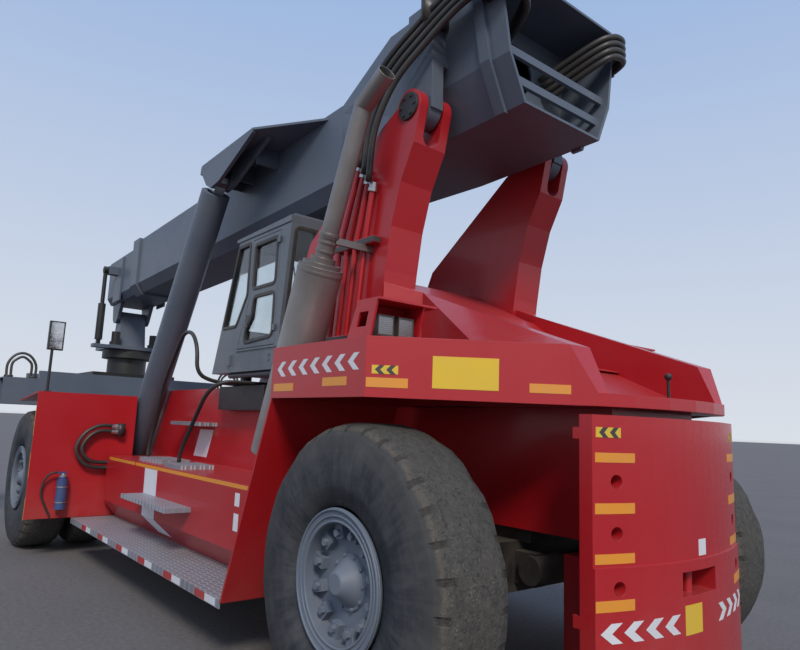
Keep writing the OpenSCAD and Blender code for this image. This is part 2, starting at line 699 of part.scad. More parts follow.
// Two lamps in each box, facing back
module work_lamps() color([0.7, 0.7, 0.68]) both_sides() {
    for (y = [1150, 1300])
        translate([60, y, deck_top_z]) {
            cube([70, 90, 50]);
            translate([-40, -10, 49]) cube([90, 110, 120]);
        }
}

pole_x = -960;
pole_y = 0;
pole_r = 9;
module marker_pole() color(black) {
    translate([pole_x, pole_y, lip_top_z - 30]) cylinder(h = 160, r = pole_r);
    translate([pole_x, pole_y, lip_top_z + 135]) sphere(r = 22, $fn = 32);
    translate([pole_x, pole_y, lip_top_z]) cylinder(h = 6, r = 24);
}

module valve_block() color(black) both_sides()
    translate([2650, frame_half_w, 1740]) cube([1000, 130, 240]);

/* boom */

rear_flare = [[430, 0], [580, 320], [650, 740], [650, 1000]];
function mirrored(half) = concat(half, [for (i = [len(half) - 1:-1:0]) [-half[i][0], half[i][1]]]);
boom_low_half = 330;
boom_chamfer = 140;
function boom_ring(x, half, z0) = [for (p = mirrored(half)) [x, p[0], p[1] + z0]];
module boom_section(inset)
    polygon(mirrored([[boom_low_half - inset * 0.4, -boom_under + inset], [boom_half_w - inset,
        -boom_under + boom_chamfer + inset * 0.4],
        [boom_half_w - inset, boom_h * 0.9 - boom_under], [boom_half_w - inset,
            boom_h - boom_under - inset]]));

hose_r = 24;
// Hoses from the tops of the pipes, up beside the boom and round into its open rear end,
// in the boom's own frame
module boom_hoses() color(black) in_boom() both_sides() {
    for (i = [0:pipe_count - 1])
        bent_tube([[510 - 60 * i, 950, -275 - 75 * i], [420 - 55 * i, 960, 60 - 60 * i], [230 - 50 * i,
            925, 380 - 62 * i],
            [-60 - 40 * i, 850, 610 - 62 * i], [-400 - 15 * i, 790, 760 - 58 * i], [-690, 755,
                790 - 56 * i],
            [-795, 680, 785 - 56 * i], [-810, 520, 750 - 56 * i], [-700, 400 + 10 * i, 680 - 56 * i],
            [-292, 260 + 30 * i, 500 - 45 * i]], hose_r, 8, [1, 0, 0.6]);
    // Clamps on the flared side
    for (x = [-640, -200]) translate([x, rear_flare[2][0] + run_gap, 600]) cube([50,
        x < -400 ? 150 : 230, 230]);
}

boom_main = 1500;
boom_flare = 500;
front_inside = [[boom_low_half - 0.4 * boom_wall, boom_wall], [boom_half_w - boom_wall,
    boom_chamfer + 0.4 * boom_wall],
    [boom_half_w - boom_wall, boom_h * 0.9], [boom_half_w - boom_wall, boom_h - boom_wall]];
rear_inside = [[412, boom_wall], [559, 328], [628, 742], [628, 1000 - boom_wall]];
bulkhead = [[422, boom_wall - 10], [570, 328], [639, 742], [639, 1010 - boom_wall]];
module outer_boom() color(slate) in_boom() {
    difference() {
        union() {
            translate([boom_main, 0, 0]) rotate([90, 0, 90]) linear_extrude(boom_front - boom_main)
                boom_section(0);
            skin([boom_ring(boom_main, [[boom_low_half, 0], [boom_half_w, boom_chamfer], [boom_half_w,
                boom_h * 0.9], [boom_half_w, boom_h]], -boom_under),
                boom_ring(boom_flare, rear_flare, -boom_under), boom_ring(-boom_tail, rear_flare,
                    -boom_under)]);
            translate([boom_front - 300, 0, 0]) rotate([90, 0, 90]) linear_extrude(300) boom_section(-30);
        }
        translate([boom_main - 1, 0, 0]) rotate([90, 0, 90]) linear_extrude(boom_front)
            boom_section(boom_wall);
        skin([boom_ring(boom_main, front_inside, -boom_under), boom_ring(boom_flare, rear_inside,
            -boom_under),
            boom_ring(-boom_tail - cut, rear_inside, -boom_under)]);
    }
    // Upright ribs on the flared rear sides
    both_sides() translate([-560, 0, -boom_under]) rotate([90, 0, 90]) linear_extrude(90)
        polygon([[420, -15], [455, -15], [610, 325], [682, 740], [682, 1000], [640, 1000], [640, 740],
            [570, 320]]);
    // Bulkhead inside the open rear end, with two stiffeners across it
    difference() {
        skin([for (x = [-260, -240]) boom_ring(x, bulkhead, -boom_under)]);
        translate([-300, 0, 520]) rotate([0, 90, 0]) cylinder(h = 100, r = 210);
    }
    for (row = [[60, 505], [260, 575]])
        translate([-boom_tail + 60, -row[1], row[0]]) cube([30, 2 * row[1], 60]);
    // Lugs on the pivot pins
    both_sides() difference() {
        union() {
            translate([-140, 645, -20]) cube([280, 110, 850]);
            translate([-140, 560, 330]) cube([280, 90, 500]);
            cross_bar(0, 0, 645, 110, 125);
        }
        cross_bar(0, 0, 600, 200, pivot_r + run_gap);
    }
    // Wear pads round the inner boom
    pad = boom_gap - run_gap;
    for (z = [-boom_under + boom_wall, boom_h - boom_under - boom_wall - pad])
        translate([boom_front - 250, -250, z]) cube([200, 500, pad]);
}

// Rod pin in the boom's own frame
eye_along = (eye_x - pivot_x) * cos(boom_fall) - (eye_z - pivot_z) * sin(boom_fall);
eye_up = (eye_x - pivot_x) * sin(boom_fall) + (eye_z - pivot_z) * cos(boom_fall);
eye_ear_t = 40;
eye_gap = 10;
// Wings on the boom's sides, each with two ears and a pin for a lift rod
module boom_brackets() color(slate) in_boom() both_sides() {
    out = lift_y + lift_eye_half + eye_gap + eye_ear_t;
    in = lift_y - lift_eye_half - eye_gap - eye_ear_t;
    for (y = [in, lift_y + lift_eye_half + eye_gap])
        upright_plate([[eye_along - 1000, 700], [eye_along - 220, eye_up - 110], [eye_along, eye_up - 130],
            [eye_along + 130, eye_up - 60], [eye_along + 330, 690], [eye_along + 300, 745],
                [eye_along - 1000, 745]],
            y, eye_ear_t);
    // Top plate that widens from the boom's side towards the front
    linear_extrude_at(720, 25) polygon([[eye_along - 1700, boom_half_w], [eye_along - 1000, out],
        [eye_along + 300, out],
        [eye_along + 560, boom_half_w]]);
    // Front plate down to the rod's pin
    upright_plate([[eye_along + 290, 640], [eye_along + 330, 640], [eye_along + 320, 730],
        [eye_along + 280, 730]],
        boom_half_w, out - boom_half_w);
    // Ribs from the boom's side to the inner ear
    for (x = [eye_along - 700, eye_along - 120, eye_along + 180])
        translate([x, boom_half_w, 520]) cube([30, in - boom_half_w + 1, 201]);
}
module linear_extrude_at(z, h) translate([0, 0, z]) linear_extrude(h) children();
eye_pin_r = 55;

inner_half = boom_half_w - boom_wall - boom_gap;
inner_front = 9280;
module inner_section(inset) let (base = boom_wall + boom_gap)
    polygon(mirrored([[boom_low_half - (base + inset) * 0.4, -boom_under + base + inset],
        [boom_half_w - base - inset, -boom_under + boom_chamfer + (base + inset) * 0.4],
        [boom_half_w - base - inset, boom_h * 0.9 - boom_under - base], [boom_half_w - base - inset,
            boom_h - boom_under - base - inset]]));

module inner_boom() color(slate) {
    in_boom() difference() {
        translate([boom_front - inner_in, 0, 0]) rotate([90, 0, 90])
            linear_extrude(inner_front - boom_front + inner_in) inner_section(0);
        translate([boom_front - inner_in - cut, 0, 0]) rotate([90, 0, 90])
            linear_extrude(inner_front - boom_front + inner_in - 20) inner_section(inner_wall);
    }
    // Cheek plates on the tip, with an ear beside each damper's eye
    both_sides() {
        upright_plate([[slew_x - 550, 3640], [slew_x - 150, 3630], [slew_x - 150, 4400], [slew_x - 550,
            4420]], inner_half - 1, 25);
        translate([damper_x - 80, inner_half + 20, damper_low + 1260]) cube([160,
            damper_y - 32 - 6 - inner_half - 20, 140]);
    }
    // Lugs that carry the head
    both_sides() {
        upright_plate([[slew_x - 350, 3760], [slew_x - 130, tip_z - 60], [slew_x - 60, tip_z - 120],
            [slew_x + 60, tip_z - 120], [slew_x + 130, tip_z - 60], [slew_x + 230, 3760]], 230, 60);
    }
    cross_bar(slew_x, tip_z, -290, 580, tip_r);
}

head_low = 2800;
module head_yoke() color(slate) difference() {
    union() {
        upright_plate([[slew_x - 250, head_low], [slew_x + 250, head_low], [slew_x + 110, tip_z],
            [slew_x + 60, tip_z + 90], [slew_x - 60, tip_z + 90], [slew_x - 110, tip_z]], -220, 440);
        translate([slew_x - 450, -450, head_low - 1]) cube([900, 900, 61]);
        translate([damper_x - 90, -damper_y - 90, head_low - 1]) cube([180, 2 * damper_y + 180, 61]);
    }
    cross_bar(slew_x, tip_z, -300, 600, tip_r + run_gap);
}

damper_x = slew_x - 260;
damper_y = 600;
damper_low = head_low + 60;
motor_x = 330;
// Sway dampers that stand on the head's arms beside the boom, and the two slewing motors
module head_dampers() color(black) {
    both_sides() translate([damper_x, damper_y, damper_low]) {
        translate([-40, -30, 0]) cube([80, 60, 90]);
        translate([0, 0, 80]) cylinder(h = 640, r = 62);
        translate([0, 0, 719]) cylinder(h = 560, r = 34);
        translate([0, -32, 1330]) rotate([-90, 0, 0]) difference() {
            cylinder(h = 64, r = 66);
            translate([0, 0, -cut]) cylinder(h = 64 + 2 * cut, r = 30);
        }
    }
    for (y = [-330, 330]) translate([slew_x - motor_x, y, head_low + 60]) {
        cylinder(h = 60, r = 95);
        translate([0, 0, 59]) cylinder(h = 180, r = 72);
    }
}

rotator_low = 2300;
module rotator() color(black) translate([slew_x, 0, 0]) {
    translate([0, 0, head_low - run_gap - 150]) cylinder(h = 149, r = 430);
    translate([0, 0, rotator_low]) cylinder(h = head_low - 150 - rotator_low, r = 330);
    translate([-550, -700, rotator_low]) cube([1100, 1400, 60]);
}

frame_low = lock_beam_z - 40;
module spreader_frame() color(slate) translate([slew_x, 0, 0]) {
    difference() {
        for (x = [-channel_x - channel_w, channel_x]) translate([x, -2000, frame_low]) cube([channel_w,
            4000, main_beam_h]);
        for (x = [-channel_x - channel_w, channel_x]) translate([x + channel_t, -2000 - cut,
            frame_low + channel_t])
            cube([channel_w - 2 * channel_t, 4000 + 2 * cut, main_beam_h - 2 * channel_t]);
    }
    for (y = [-1900, -900, 700, 1700]) translate([-140, y, frame_low]) cube([280, 200, main_beam_h]);
    translate([-600, -1500, frame_low + main_beam_h]) cube([120, 3000,
        rotator_low - run_gap - frame_low - main_beam_h]);
    translate([480, -1500, frame_low + main_beam_h]) cube([120, 3000,
        rotator_low - run_gap - frame_low - main_beam_h]);
}

// Hose arches over the ends of the spreader's main frame: how far each lies inside the outer one
arch_steps = [0, 60];
arch_z = frame_low + main_beam_h;
arch_in = 1560;
arch_out = 1960;
module arch(d) bent_tube([[-540, arch_in + d, arch_z + run_gap], [-540, arch_in + d, arch_z + 200],
    [-540, arch_in + 80 + 0.5 * d, arch_z + 340 - d],
    [-540, (arch_in + arch_out) / 2, arch_z + 390 - d], [-540, arch_out - 80 - 0.5 * d, arch_z + 340 - d],
    [-540, arch_out - d, arch_z + 200], [-540, arch_out - d, arch_z + run_gap]], 20, 8, [1, 0, 0]);
module spreader_hoses() color(black) translate([slew_x, 0, 0]) both_sides() {
    for (d = arch_steps) arch(d);
    // Strip that holds the feet of both arches
    for (y = [arch_in - 30, arch_out - 90]) translate([-575, y, arch_z + run_gap]) cube([70, 120, 30]);
}

beam_gap = 6;
beam_tail = 1900;
// Twistlocks in from an end beam's ends
lock_end_in = 89.5;
lock_x = end_beam_l / 2 - lock_end_in;
lock_in = 102.5;
channel_x = 140;
channel_w = 460;
channel_t = 20;
// Beam that slides out to the left in the front channel; the right one is the same turned by half a turn
module spreader_beam() color(slate) {
    end_w = 250;
    low = frame_low + channel_t + beam_gap;
    translate([channel_x + channel_t + beam_gap, -beam_tail, low])
        cube([channel_w - 2 * (channel_t + beam_gap), spreader_half_l - end_w + beam_tail,
            main_beam_h - 2 * (channel_t + beam_gap)]);
    // Wear strips on the beam's tail
    for (z = [low - beam_gap + run_gap, low + main_beam_h - 2 * (channel_t + beam_gap)])
        translate([channel_x + 100, -beam_tail, z]) cube([channel_w - 200, 400, beam_gap - run_gap]);
    translate([-end_beam_l / 2, spreader_half_l - end_w, lock_beam_z]) cube([end_beam_l, end_w, 330]);
    for (x = [-lock_x, lock_x]) translate([x, spreader_half_l - lock_in, lock_beam_z - 100])
        cylinder(h = 101, r = 28);
}

/* lift cylinders */

lift_l = sqrt(pow(eye_x - foot_x, 2) + pow(eye_z - foot_z, 2));
lift_lean = atan2(eye_x - foot_x, eye_z - foot_z);
module in_lift() translate([foot_x, lift_y, foot_z]) rotate([0, lift_lean, 0]) children();

tube_r = 18;
tube_off = barrel_r + 34;
module lift_barrel() color(slate) in_lift() difference() {
    union() {
        // Oil tube along the front on its saddles
        translate([tube_off, 0, 330]) cylinder(h = 3330, r = tube_r);
        for (z = [330, 1400, 2500, 3600]) translate([barrel_r - 30, -28, z])
            cube([tube_off - barrel_r + 46, 56, 50]);
        translate([0, 0, 240]) cylinder(h = barrel_l - 240, r = barrel_r);
        translate([0, -60, 0]) rotate([-90, 0, 0]) cylinder(h = 120, r = 105);
        translate([-105, -60, 0]) cube([210, 120, 260]);
    }
    translate([0, 0, 320]) cylinder(h = barrel_l, r = rod_r + run_gap);
    translate([0, -100, 0]) rotate([-90, 0, 0]) cylinder(h = 200, r = foot_pin_r + run_gap);
}

eye_neck = 180;
// The pin rides in the eye and ends short of the bracket's ears
pin_gap = 5;
pin_half = lift_eye_half + eye_gap - pin_gap;
module lift_rod() color(chrome) in_lift() {
    translate([0, 0, 340]) cylinder(h = lift_l - 340 - eye_neck, r = rod_r);
    translate([-80, -lift_eye_half, lift_l - eye_neck - 1]) cube([160, 2 * lift_eye_half, eye_neck]);
    translate([0, -lift_eye_half, lift_l]) rotate([-90, 0, 0]) cylinder(h = 2 * lift_eye_half, r = 105);
    translate([0, -pin_half, lift_l]) rotate([-90, 0, 0]) cylinder(h = 2 * pin_half, r = eye_pin_r);
}

/* cab */

cab_plate_z = 2540;
cab_roof_z = 3500;
cab_rear = 2400;
sill_z = 2350;
glass_t = 6;
door_face = cab_half_w;
// Side outline of the cab: [x, z] of its rear and front edges at the floor, the sill and the roof
cab_floor_x = [cab_rear, 3840];
cab_sill_x = [2395, 3700];
cab_top_x = [2290, 3380];
function cab_outline(inset) = [[cab_sill_x[0] + inset, cab_plate_z], [cab_sill_x[1] - inset, cab_plate_z],
    [cab_top_x[1] - inset, cab_roof_z], [cab_top_x[0] + inset, cab_roof_z]];
door_rear = door_hinge_x;
door_gap = 6;
// Door opening: upright at the hinges, notched back towards the front of the sill
door_outline = [[door_rear, sill_z], [3270, sill_z], [3060, 2870], [3060, cab_roof_z - 40], [door_rear,
    cab_roof_z - 40]];
function shrunk(d) = [[door_rear + d, sill_z + d], [3270 - 1.7 * d, sill_z + d], [3060 - d, 2870 - 0.3 * d],
    [3060 - d, cab_roof_z - 40 - d], [door_rear + d, cab_roof_z - 40 - d]];
upper_pane = [door_rear + 62, 3060 - 60, 2950, 3400];
lower_pane = [[door_rear + 62, 2440], [3110, 2410], [3110, 2520], [2985, 2650], [2960, 2860],
    [door_rear + 62, 2860]];
fixed_pane = [[3330, 2600], [3640, 2600], [3375, 3440], [3120, 3440], [3120, 2900]];
right_pane = [[2480, 2600], [3640, 2600], [3375, 3440], [2420, 3440]];
pane_r = 40;
// Upright rectangle with round corners: [x low, x high, z low, z high]
module rounded_pane(box, r) {
    translate([box[0] + r, box[2]]) square([box[1] - box[0] - 2 * r, box[3] - box[2]]);
    translate([box[0], box[2] + r]) square([box[1] - box[0], box[3] - box[2] - 2 * r]);
    for (x = [box[0] + r, box[1] - r], z = [box[2] + r, box[3] - r]) translate([x, z]) circle(r);
}
module flat_upright(y0, thick) translate([0, y0 + thick, 0]) rotate([90, 0, 0]) linear_extrude(thick)
    children();

module cab_feet() for (x = [2560, 3560], y = [-480, 480])
    translate([x, y, platform_z]) cylinder(h = cab_low_z - platform_z, r = 60);

module cab_tub() difference() {
    upright_plate([[cab_floor_x[0], cab_low_z], [cab_floor_x[1], cab_low_z], [cab_sill_x[1], cab_plate_z],
        [cab_sill_x[0], cab_plate_z]], -cab_half_w, 2 * cab_half_w);
    upright_plate([[cab_floor_x[0] + cab_wall, cab_low_z + cab_wall], [cab_floor_x[1] - cab_wall - 20,
        cab_low_z + cab_wall],
        [cab_sill_x[1] - cab_wall, cab_plate_z + 20], [cab_sill_x[0] + cab_wall, cab_plate_z + 20]],
        -cab_half_w + cab_wall, 2 * cab_half_w - 2 * cab_wall);
    upright_plate(door_outline, cab_half_w - cab_wall - cut, cab_wall + 2 * cut);
}

rail_r = 28;
module cab_base() color(cab_grey) {
    cab_tub();
    cab_feet();
    // Rails under the sides, the latch and two vents
    both_sides() translate([2500, cab_half_w - 60, cab_low_z - rail_r + 1]) rotate([0, 90, 0])
        cylinder(h = 1000, r = rail_r);
    translate([3380, cab_half_w - 1, 2190]) cube([60, 22, 110]);
    for (z = [2215, 2265]) translate([2570, cab_half_w - 1, z]) rotate([-90, 0, 0]) cylinder(h = 7, r = 16);
    // Gutter over the sill
    translate([cab_rear + 30, cab_half_w - 1, sill_z - 24]) cube([door_outline[1][0] - cab_rear - 30, 12,
        12]);
}

module cab_frame() color(cab_grey) difference() {
    upright_plate(cab_outline(0), -cab_half_w, 2 * cab_half_w);
    upright_plate([[cab_sill_x[0] + cab_wall, cab_plate_z - cut], [cab_sill_x[1] - cab_wall,
        cab_plate_z - cut],
        [cab_top_x[1] - cab_wall, cab_roof_z + cut], [cab_top_x[0] + cab_wall, cab_roof_z + cut]],
        -cab_half_w + cab_wall, 2 * cab_half_w - 2 * cab_wall);
    upright_plate(door_outline, cab_half_w - cab_wall - cut, cab_wall + 2 * cut);
    upright_plate(fixed_pane, cab_half_w - cab_wall - cut, cab_wall + 2 * cut);
    upright_plate(right_pane, -cab_half_w - cut, cab_wall + 2 * cut);
    // Windscreen and rear window
    for (x = [2200, 3200])
        translate([x, -cab_half_w + pane_side, cab_plate_z + 60]) cube([700,
            2 * (cab_half_w - pane_side), cab_roof_z - cab_plate_z - 110]);
}
pane_side = 60;

module cab_roof() color(cab_grey) {
    upright_plate([[cab_top_x[0], cab_roof_z], [cab_top_x[1] + 20, cab_roof_z], [3440, 3515], [3430, 3535],
        [cab_top_x[0] - 10, 3560]], -cab_half_w - 10, 2 * cab_half_w + 20);
    upright_plate([[2330, 3550], [3340, 3530], [3320, 3575], [2340, 3600]], -cab_half_w + 60,
        2 * cab_half_w - 120);
}

clear_fit = 0.3;
module cab_glass() color([0.6, 0.7, 0.7, 0.4]) {
    wide = cab_half_w - pane_side - clear_fit;
    upright_plate([[3660, 2600 + clear_fit], [3666, 2600 + clear_fit], [3397, 3450 - clear_fit], [3391,
        3450 - clear_fit]], -wide, 2 * wide);
    upright_plate([[2400, 2600 + clear_fit], [2406, 2600 + clear_fit], [2312, 3450 - clear_fit], [2306,
        3450 - clear_fit]], -wide, 2 * wide);
    upright_plate([[3330.5, 2600.4], [3639, 2600.4], [3374.6, 3439.6], [3120.4, 3439.6], [3120.4,
        2900.6]], cab_half_w - 26, glass_t);
    upright_plate([[2480.5, 2600.4], [3639, 2600.4], [3374.6, 3439.6], [2420.5, 3439.6]],
        -cab_half_w + 20, glass_t);
}

module cab_seat() color(black) {
    translate([2650, -250, cab_low_z + cab_wall]) cube([450, 500, 420]);
    translate([2560, -240, cab_low_z + cab_wall + 420]) cube([140, 480, 600]);
    translate([2570, -130, cab_low_z + cab_wall + 1019]) cube([110, 260, 180]);
    for (y = [-330, 260]) translate([2680, y, cab_low_z + cab_wall + 560]) cube([350, 70, 50]);
    for (y = [-330, 240]) translate([2740, y, cab_low_z + cab_wall + 300]) cube([60, 90, 261]);
}

wheel_ring_r = 190;
module cab_controls() color(black) {
    translate([3400, -60, cab_low_z + cab_wall]) {
        cylinder(h = 30, r = 70);
        translate([0, 0, 16]) rotate([0, -15, 0]) {
            cylinder(h = 600, r = 50);
            translate([0, 0, 620]) rotate_extrude($fn = 48) translate([wheel_ring_r, 0]) circle(14,
                $fn = 24);
            translate([0, 0, 590]) cylinder(h = 45, r = 60);
            for (a = [90, 210, 330]) rotate([0, 90, a]) translate([-620, 0, 0])
                cylinder(h = wheel_ring_r, r = 10);
        }
    }
}

// Hinged door with two panes, its bottom edge on the sill
module cab_door() color(cab_grey) {
    difference() {
        upright_plate(shrunk(door_gap), door_face - cab_wall, cab_wall);
        flat_upright(door_face - cab_wall - cut, cab_wall + 2 * cut) rounded_pane(upper_pane, pane_r);
        upright_plate(lower_pane, door_face - cab_wall - cut, cab_wall + 2 * cut);
    }
    // Handle
    translate([3060, door_face - 1, 2560]) cube([24, 30, 130]);
    // Hinge knuckles
    for (z = [2480, 3330]) translate([door_hinge_x, door_hinge_y, z]) {
        cylinder(h = 60, r = 12);
        translate([0, door_face - 1 - door_hinge_y, 0]) cube([40, door_hinge_y - door_face + 1, 60]);
    }
}

module cab_door_glass() color([0.6, 0.7, 0.7, 0.4]) {
    flat_upright(door_face - 26, glass_t)
        rounded_pane([upper_pane[0] + clear_fit, upper_pane[1] - clear_fit, upper_pane[2] + clear_fit,
            upper_pane[3] - clear_fit], pane_r);
    upright_plate([[lower_pane[0][0] + 0.4, 2440.4], [3109.6, 2410.5], [3109.6, 2519.8], [2984.6, 2649.8],
        [2959.6, 2859.6], [lower_pane[0][0] + 0.4, 2859.6]], door_face - 26, glass_t);
}

from_rear_axle() main_frame();
from_rear_axle() cylinder_feet();
from_rear_axle() side_tanks();
from_rear_axle() footboards();
from_rear_axle() front_fenders();
from_rear_axle() rear_deck();
from_rear_axle() rear_skirts();
from_rear_axle() hood_ridges();
from_rear_axle() rear_hood();
from_rear_axle() counterweight();
from_rear_axle() boom_post();  // boom_post_left
from_rear_axle() mirror([0, 1, 0]) boom_post();  // boom_post_right
from_rear_axle() drive_axle();
from_rear_axle() steer_axle();
from_rear_axle() engine_block();
from_rear_axle() body_covers();
from_rear_axle() exhaust();
from_rear_axle() post_pipes();
from_rear_axle() handrails();
from_rear_axle() step_treads();
from_rear_axle() mirrors();
from_rear_axle() extinguisher();
from_rear_axle() fender_hoses();
from_rear_axle() lamp_boxes();
from_rear_axle() work_lamps();
from_rear_axle() marker_pole();
from_rear_axle() valve_block();
from_rear_axle() outer_boom();
from_rear_axle() boom_brackets();
from_rear_axle() boom_hoses();
from_rear_axle() inner_boom();
from_rear_axle() head_yoke();
from_rear_axle() head_dampers();
from_rear_axle() rotator();
from_rear_axle() spreader_frame();
from_rear_axle() spreader_hoses();
from_rear_axle() translate([slew_x, 0, 0])  // spreader_beam_left
    spreader_beam();
from_rear_axle() translate([slew_x, 0, 0]) rotate([0,  // spreader_beam_right
    0, 180]) spreader_beam();
from_rear_axle() lift_barrel();  // lift_barrel_left
from_rear_axle() mirror([0, 1, 0]) lift_barrel();  // lift_barrel_right
from_rear_axle() lift_rod();  // lift_rod_left
from_rear_axle() mirror([0, 1, 0]) lift_rod();  // lift_rod_right
from_rear_axle() cab_base();
from_rear_axle() cab_frame();
from_rear_axle() cab_roof();
from_rear_axle() cab_glass();
from_rear_axle() cab_seat();
from_rear_axle() cab_controls();
from_rear_axle() cab_door();
from_rear_axle() cab_door_glass();
from_rear_axle() knuckle();  // knuckle_left
from_rear_axle() mirror([0, 1, 0]) knuckle();  // knuckle_right
from_rear_axle() rear_rim();  // rear_rim_left
from_rear_axle() mirror([0, 1, 0]) rear_rim();  // rear_rim_right
from_rear_axle() rear_tyre();  // rear_tyre_left
from_rear_axle() mirror([0, 1, 0]) rear_tyre();  // rear_tyre_right
from_rear_axle() front_rims();  // front_rims_left
from_rear_axle() mirror([0, 1, 0]) front_rims();  // front_rims_right
from_rear_axle() front_tyres();  // front_tyres_left
from_rear_axle() mirror([0, 1, 0]) front_tyres();  // front_tyres_right
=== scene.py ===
"""Looks of the reach stacker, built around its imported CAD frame.

Frame: X forward, Y left, Z up, in metres, with the machine standing on z = 0 and centred in X and
Y. Sizes that the CAD counts from the rear axle are written with REAR_AXLE_X added.
"""

import math

import bpy
import numpy as np
from mathutils import Matrix, Vector


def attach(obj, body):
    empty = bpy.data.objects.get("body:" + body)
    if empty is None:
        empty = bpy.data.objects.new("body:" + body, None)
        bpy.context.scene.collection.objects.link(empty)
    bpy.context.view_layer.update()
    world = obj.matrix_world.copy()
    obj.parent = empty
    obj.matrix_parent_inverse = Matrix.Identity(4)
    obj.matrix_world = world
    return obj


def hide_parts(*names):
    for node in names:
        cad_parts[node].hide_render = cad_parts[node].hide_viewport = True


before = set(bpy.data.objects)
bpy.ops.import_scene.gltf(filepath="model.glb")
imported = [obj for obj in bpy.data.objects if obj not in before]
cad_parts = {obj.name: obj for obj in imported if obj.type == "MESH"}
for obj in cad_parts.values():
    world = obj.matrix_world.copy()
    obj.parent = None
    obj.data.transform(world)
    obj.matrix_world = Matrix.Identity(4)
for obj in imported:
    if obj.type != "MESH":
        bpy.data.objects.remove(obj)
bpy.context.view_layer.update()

REAR_AXLE_X = -4.7995
FRONT_AXLE_X = REAR_AXLE_X + 6.5

# Camera, fitted to the photo

VIEW_AT = (-7.7135, 3.609, 1.651)
VIEW_UP = (-0.094, 0.127, 0.987)
VIEW_FORWARD = (0.769, -0.621, 0.153)
LENS_MM = 29.19
SENSOR_MM = 36.0
FARTHEST = 900.0


def in_scene(name, data):
    """A new object in the scene with its data."""
    obj = bpy.data.objects.new(name, data)
    bpy.context.scene.collection.objects.link(obj)
    return obj


def photo_camera():
    """The camera that took the photo: its place, its turn, its lens and its sensor."""
    data = bpy.data.cameras.new("photo_camera")
    data.lens = LENS_MM
    data.sensor_width = SENSOR_MM
    data.clip_end = FARTHEST
    camera = in_scene("photo_camera", data)
    forward = Vector(VIEW_FORWARD).normalized()
    right = forward.cross(Vector(VIEW_UP)).normalized()
    up = right.cross(forward)
    turn = Matrix((right, up, -forward)).transposed().to_4x4()
    camera.matrix_world = Matrix.Translation(VIEW_AT) @ turn
    bpy.context.scene.camera = camera


photo_camera()

# Shader helpers


def give(tree, node, inputs):
    """Gives a node's inputs their links and constants."""
    for key, value in inputs.items():
        if isinstance(value, bpy.types.NodeSocket):
            tree.links.new(value, node.inputs[key])
        else:
            node.inputs[key].default_value = value


def add(tree, kind, inputs=None, **props):
    """A new shader node with its properties and inputs."""
    node = tree.nodes.new("ShaderNode" + kind)
    for key, value in props.items():
        setattr(node, key, value)
    give(tree, node, inputs or {})
    return node


def own_place(tree):
    """The object's own coordinates."""
    return add(tree, "TexCoord").outputs["Object"]


def noise(tree, where, scale, detail=4.0, rough=0.55):
    """Value noise from 0 to 1 at a place."""
    inputs = {"Vector": where, "Scale": scale, "Detail": detail, "Roughness": rough}
    return add(tree, "TexNoise", inputs).outputs["Fac"]


def ramp(tree, value, low, high, out_low=0.0, out_high=1.0):
    """A clamped straight line through (low, out_low) and (high, out_high)."""
    return add(tree, "MapRange", {0: value, 1: low, 2: high, 3: out_low, 4: out_high}).outputs[0]


def math_node(tree, operation, a, b=0.0, clamp=False):
    """One value from two by an operation."""
    return add(tree, "Math", {0: a, 1: b}, operation=operation, use_clamp=clamp).outputs[0]


def times(tree, a, b):
    """Product of two values."""
    return math_node(tree, "MULTIPLY", a, b)


def plus(tree, a, b, clamp=False):
    """Sum of two values, kept within 0 and 1 where clamp is set."""
    return math_node(tree, "ADD", a, b, clamp)


def mixed(tree, factor, a, b):
    """Colour between a and b, each from another node or as red, green and blue."""
    a, b = (c if isinstance(c, bpy.types.NodeSocket) else (*c, 1.0) for c in (a, b))
    return add(tree, "Mix", {0: factor, 6: a, 7: b}, data_type="RGBA").outputs[2]


def layered(tree, tone, layers):
    """A colour under layers, each with its mask, the mask's strength and its own colour."""
    for mask, strength, colour in layers:
        tone = mixed(tree, times(tree, mask, strength), tone, colour)
    return tone


def vector_node(tree, operation, a, b=(0.0, 0.0, 0.0)):
    """One vector from two by an operation."""
    return add(tree, "VectorMath", {0: a, 1: b}, operation=operation).outputs[0]


def split(tree, vector):
    """The three numbers of a vector."""
    return add(tree, "SeparateXYZ", {0: vector}).outputs


def raised(tree, height, strength, distance, base=None):
    """The normal over a height whose unit stands for a distance in metres, added to a base where
    one is given."""
    inputs = {"Strength": strength, "Distance": distance, "Height": height}
    if base is not None:
        inputs["Normal"] = base
    return add(tree, "Bump", inputs).outputs[0]


MASKS = ("Blotch", "Grain", "Streak", "Splash", "Settled", "Specks")
# Height above which most finishes are clean, and the one below which splashes are thickest
CLEAN_ABOVE = 1.5
MUDDY_BELOW = 0.2


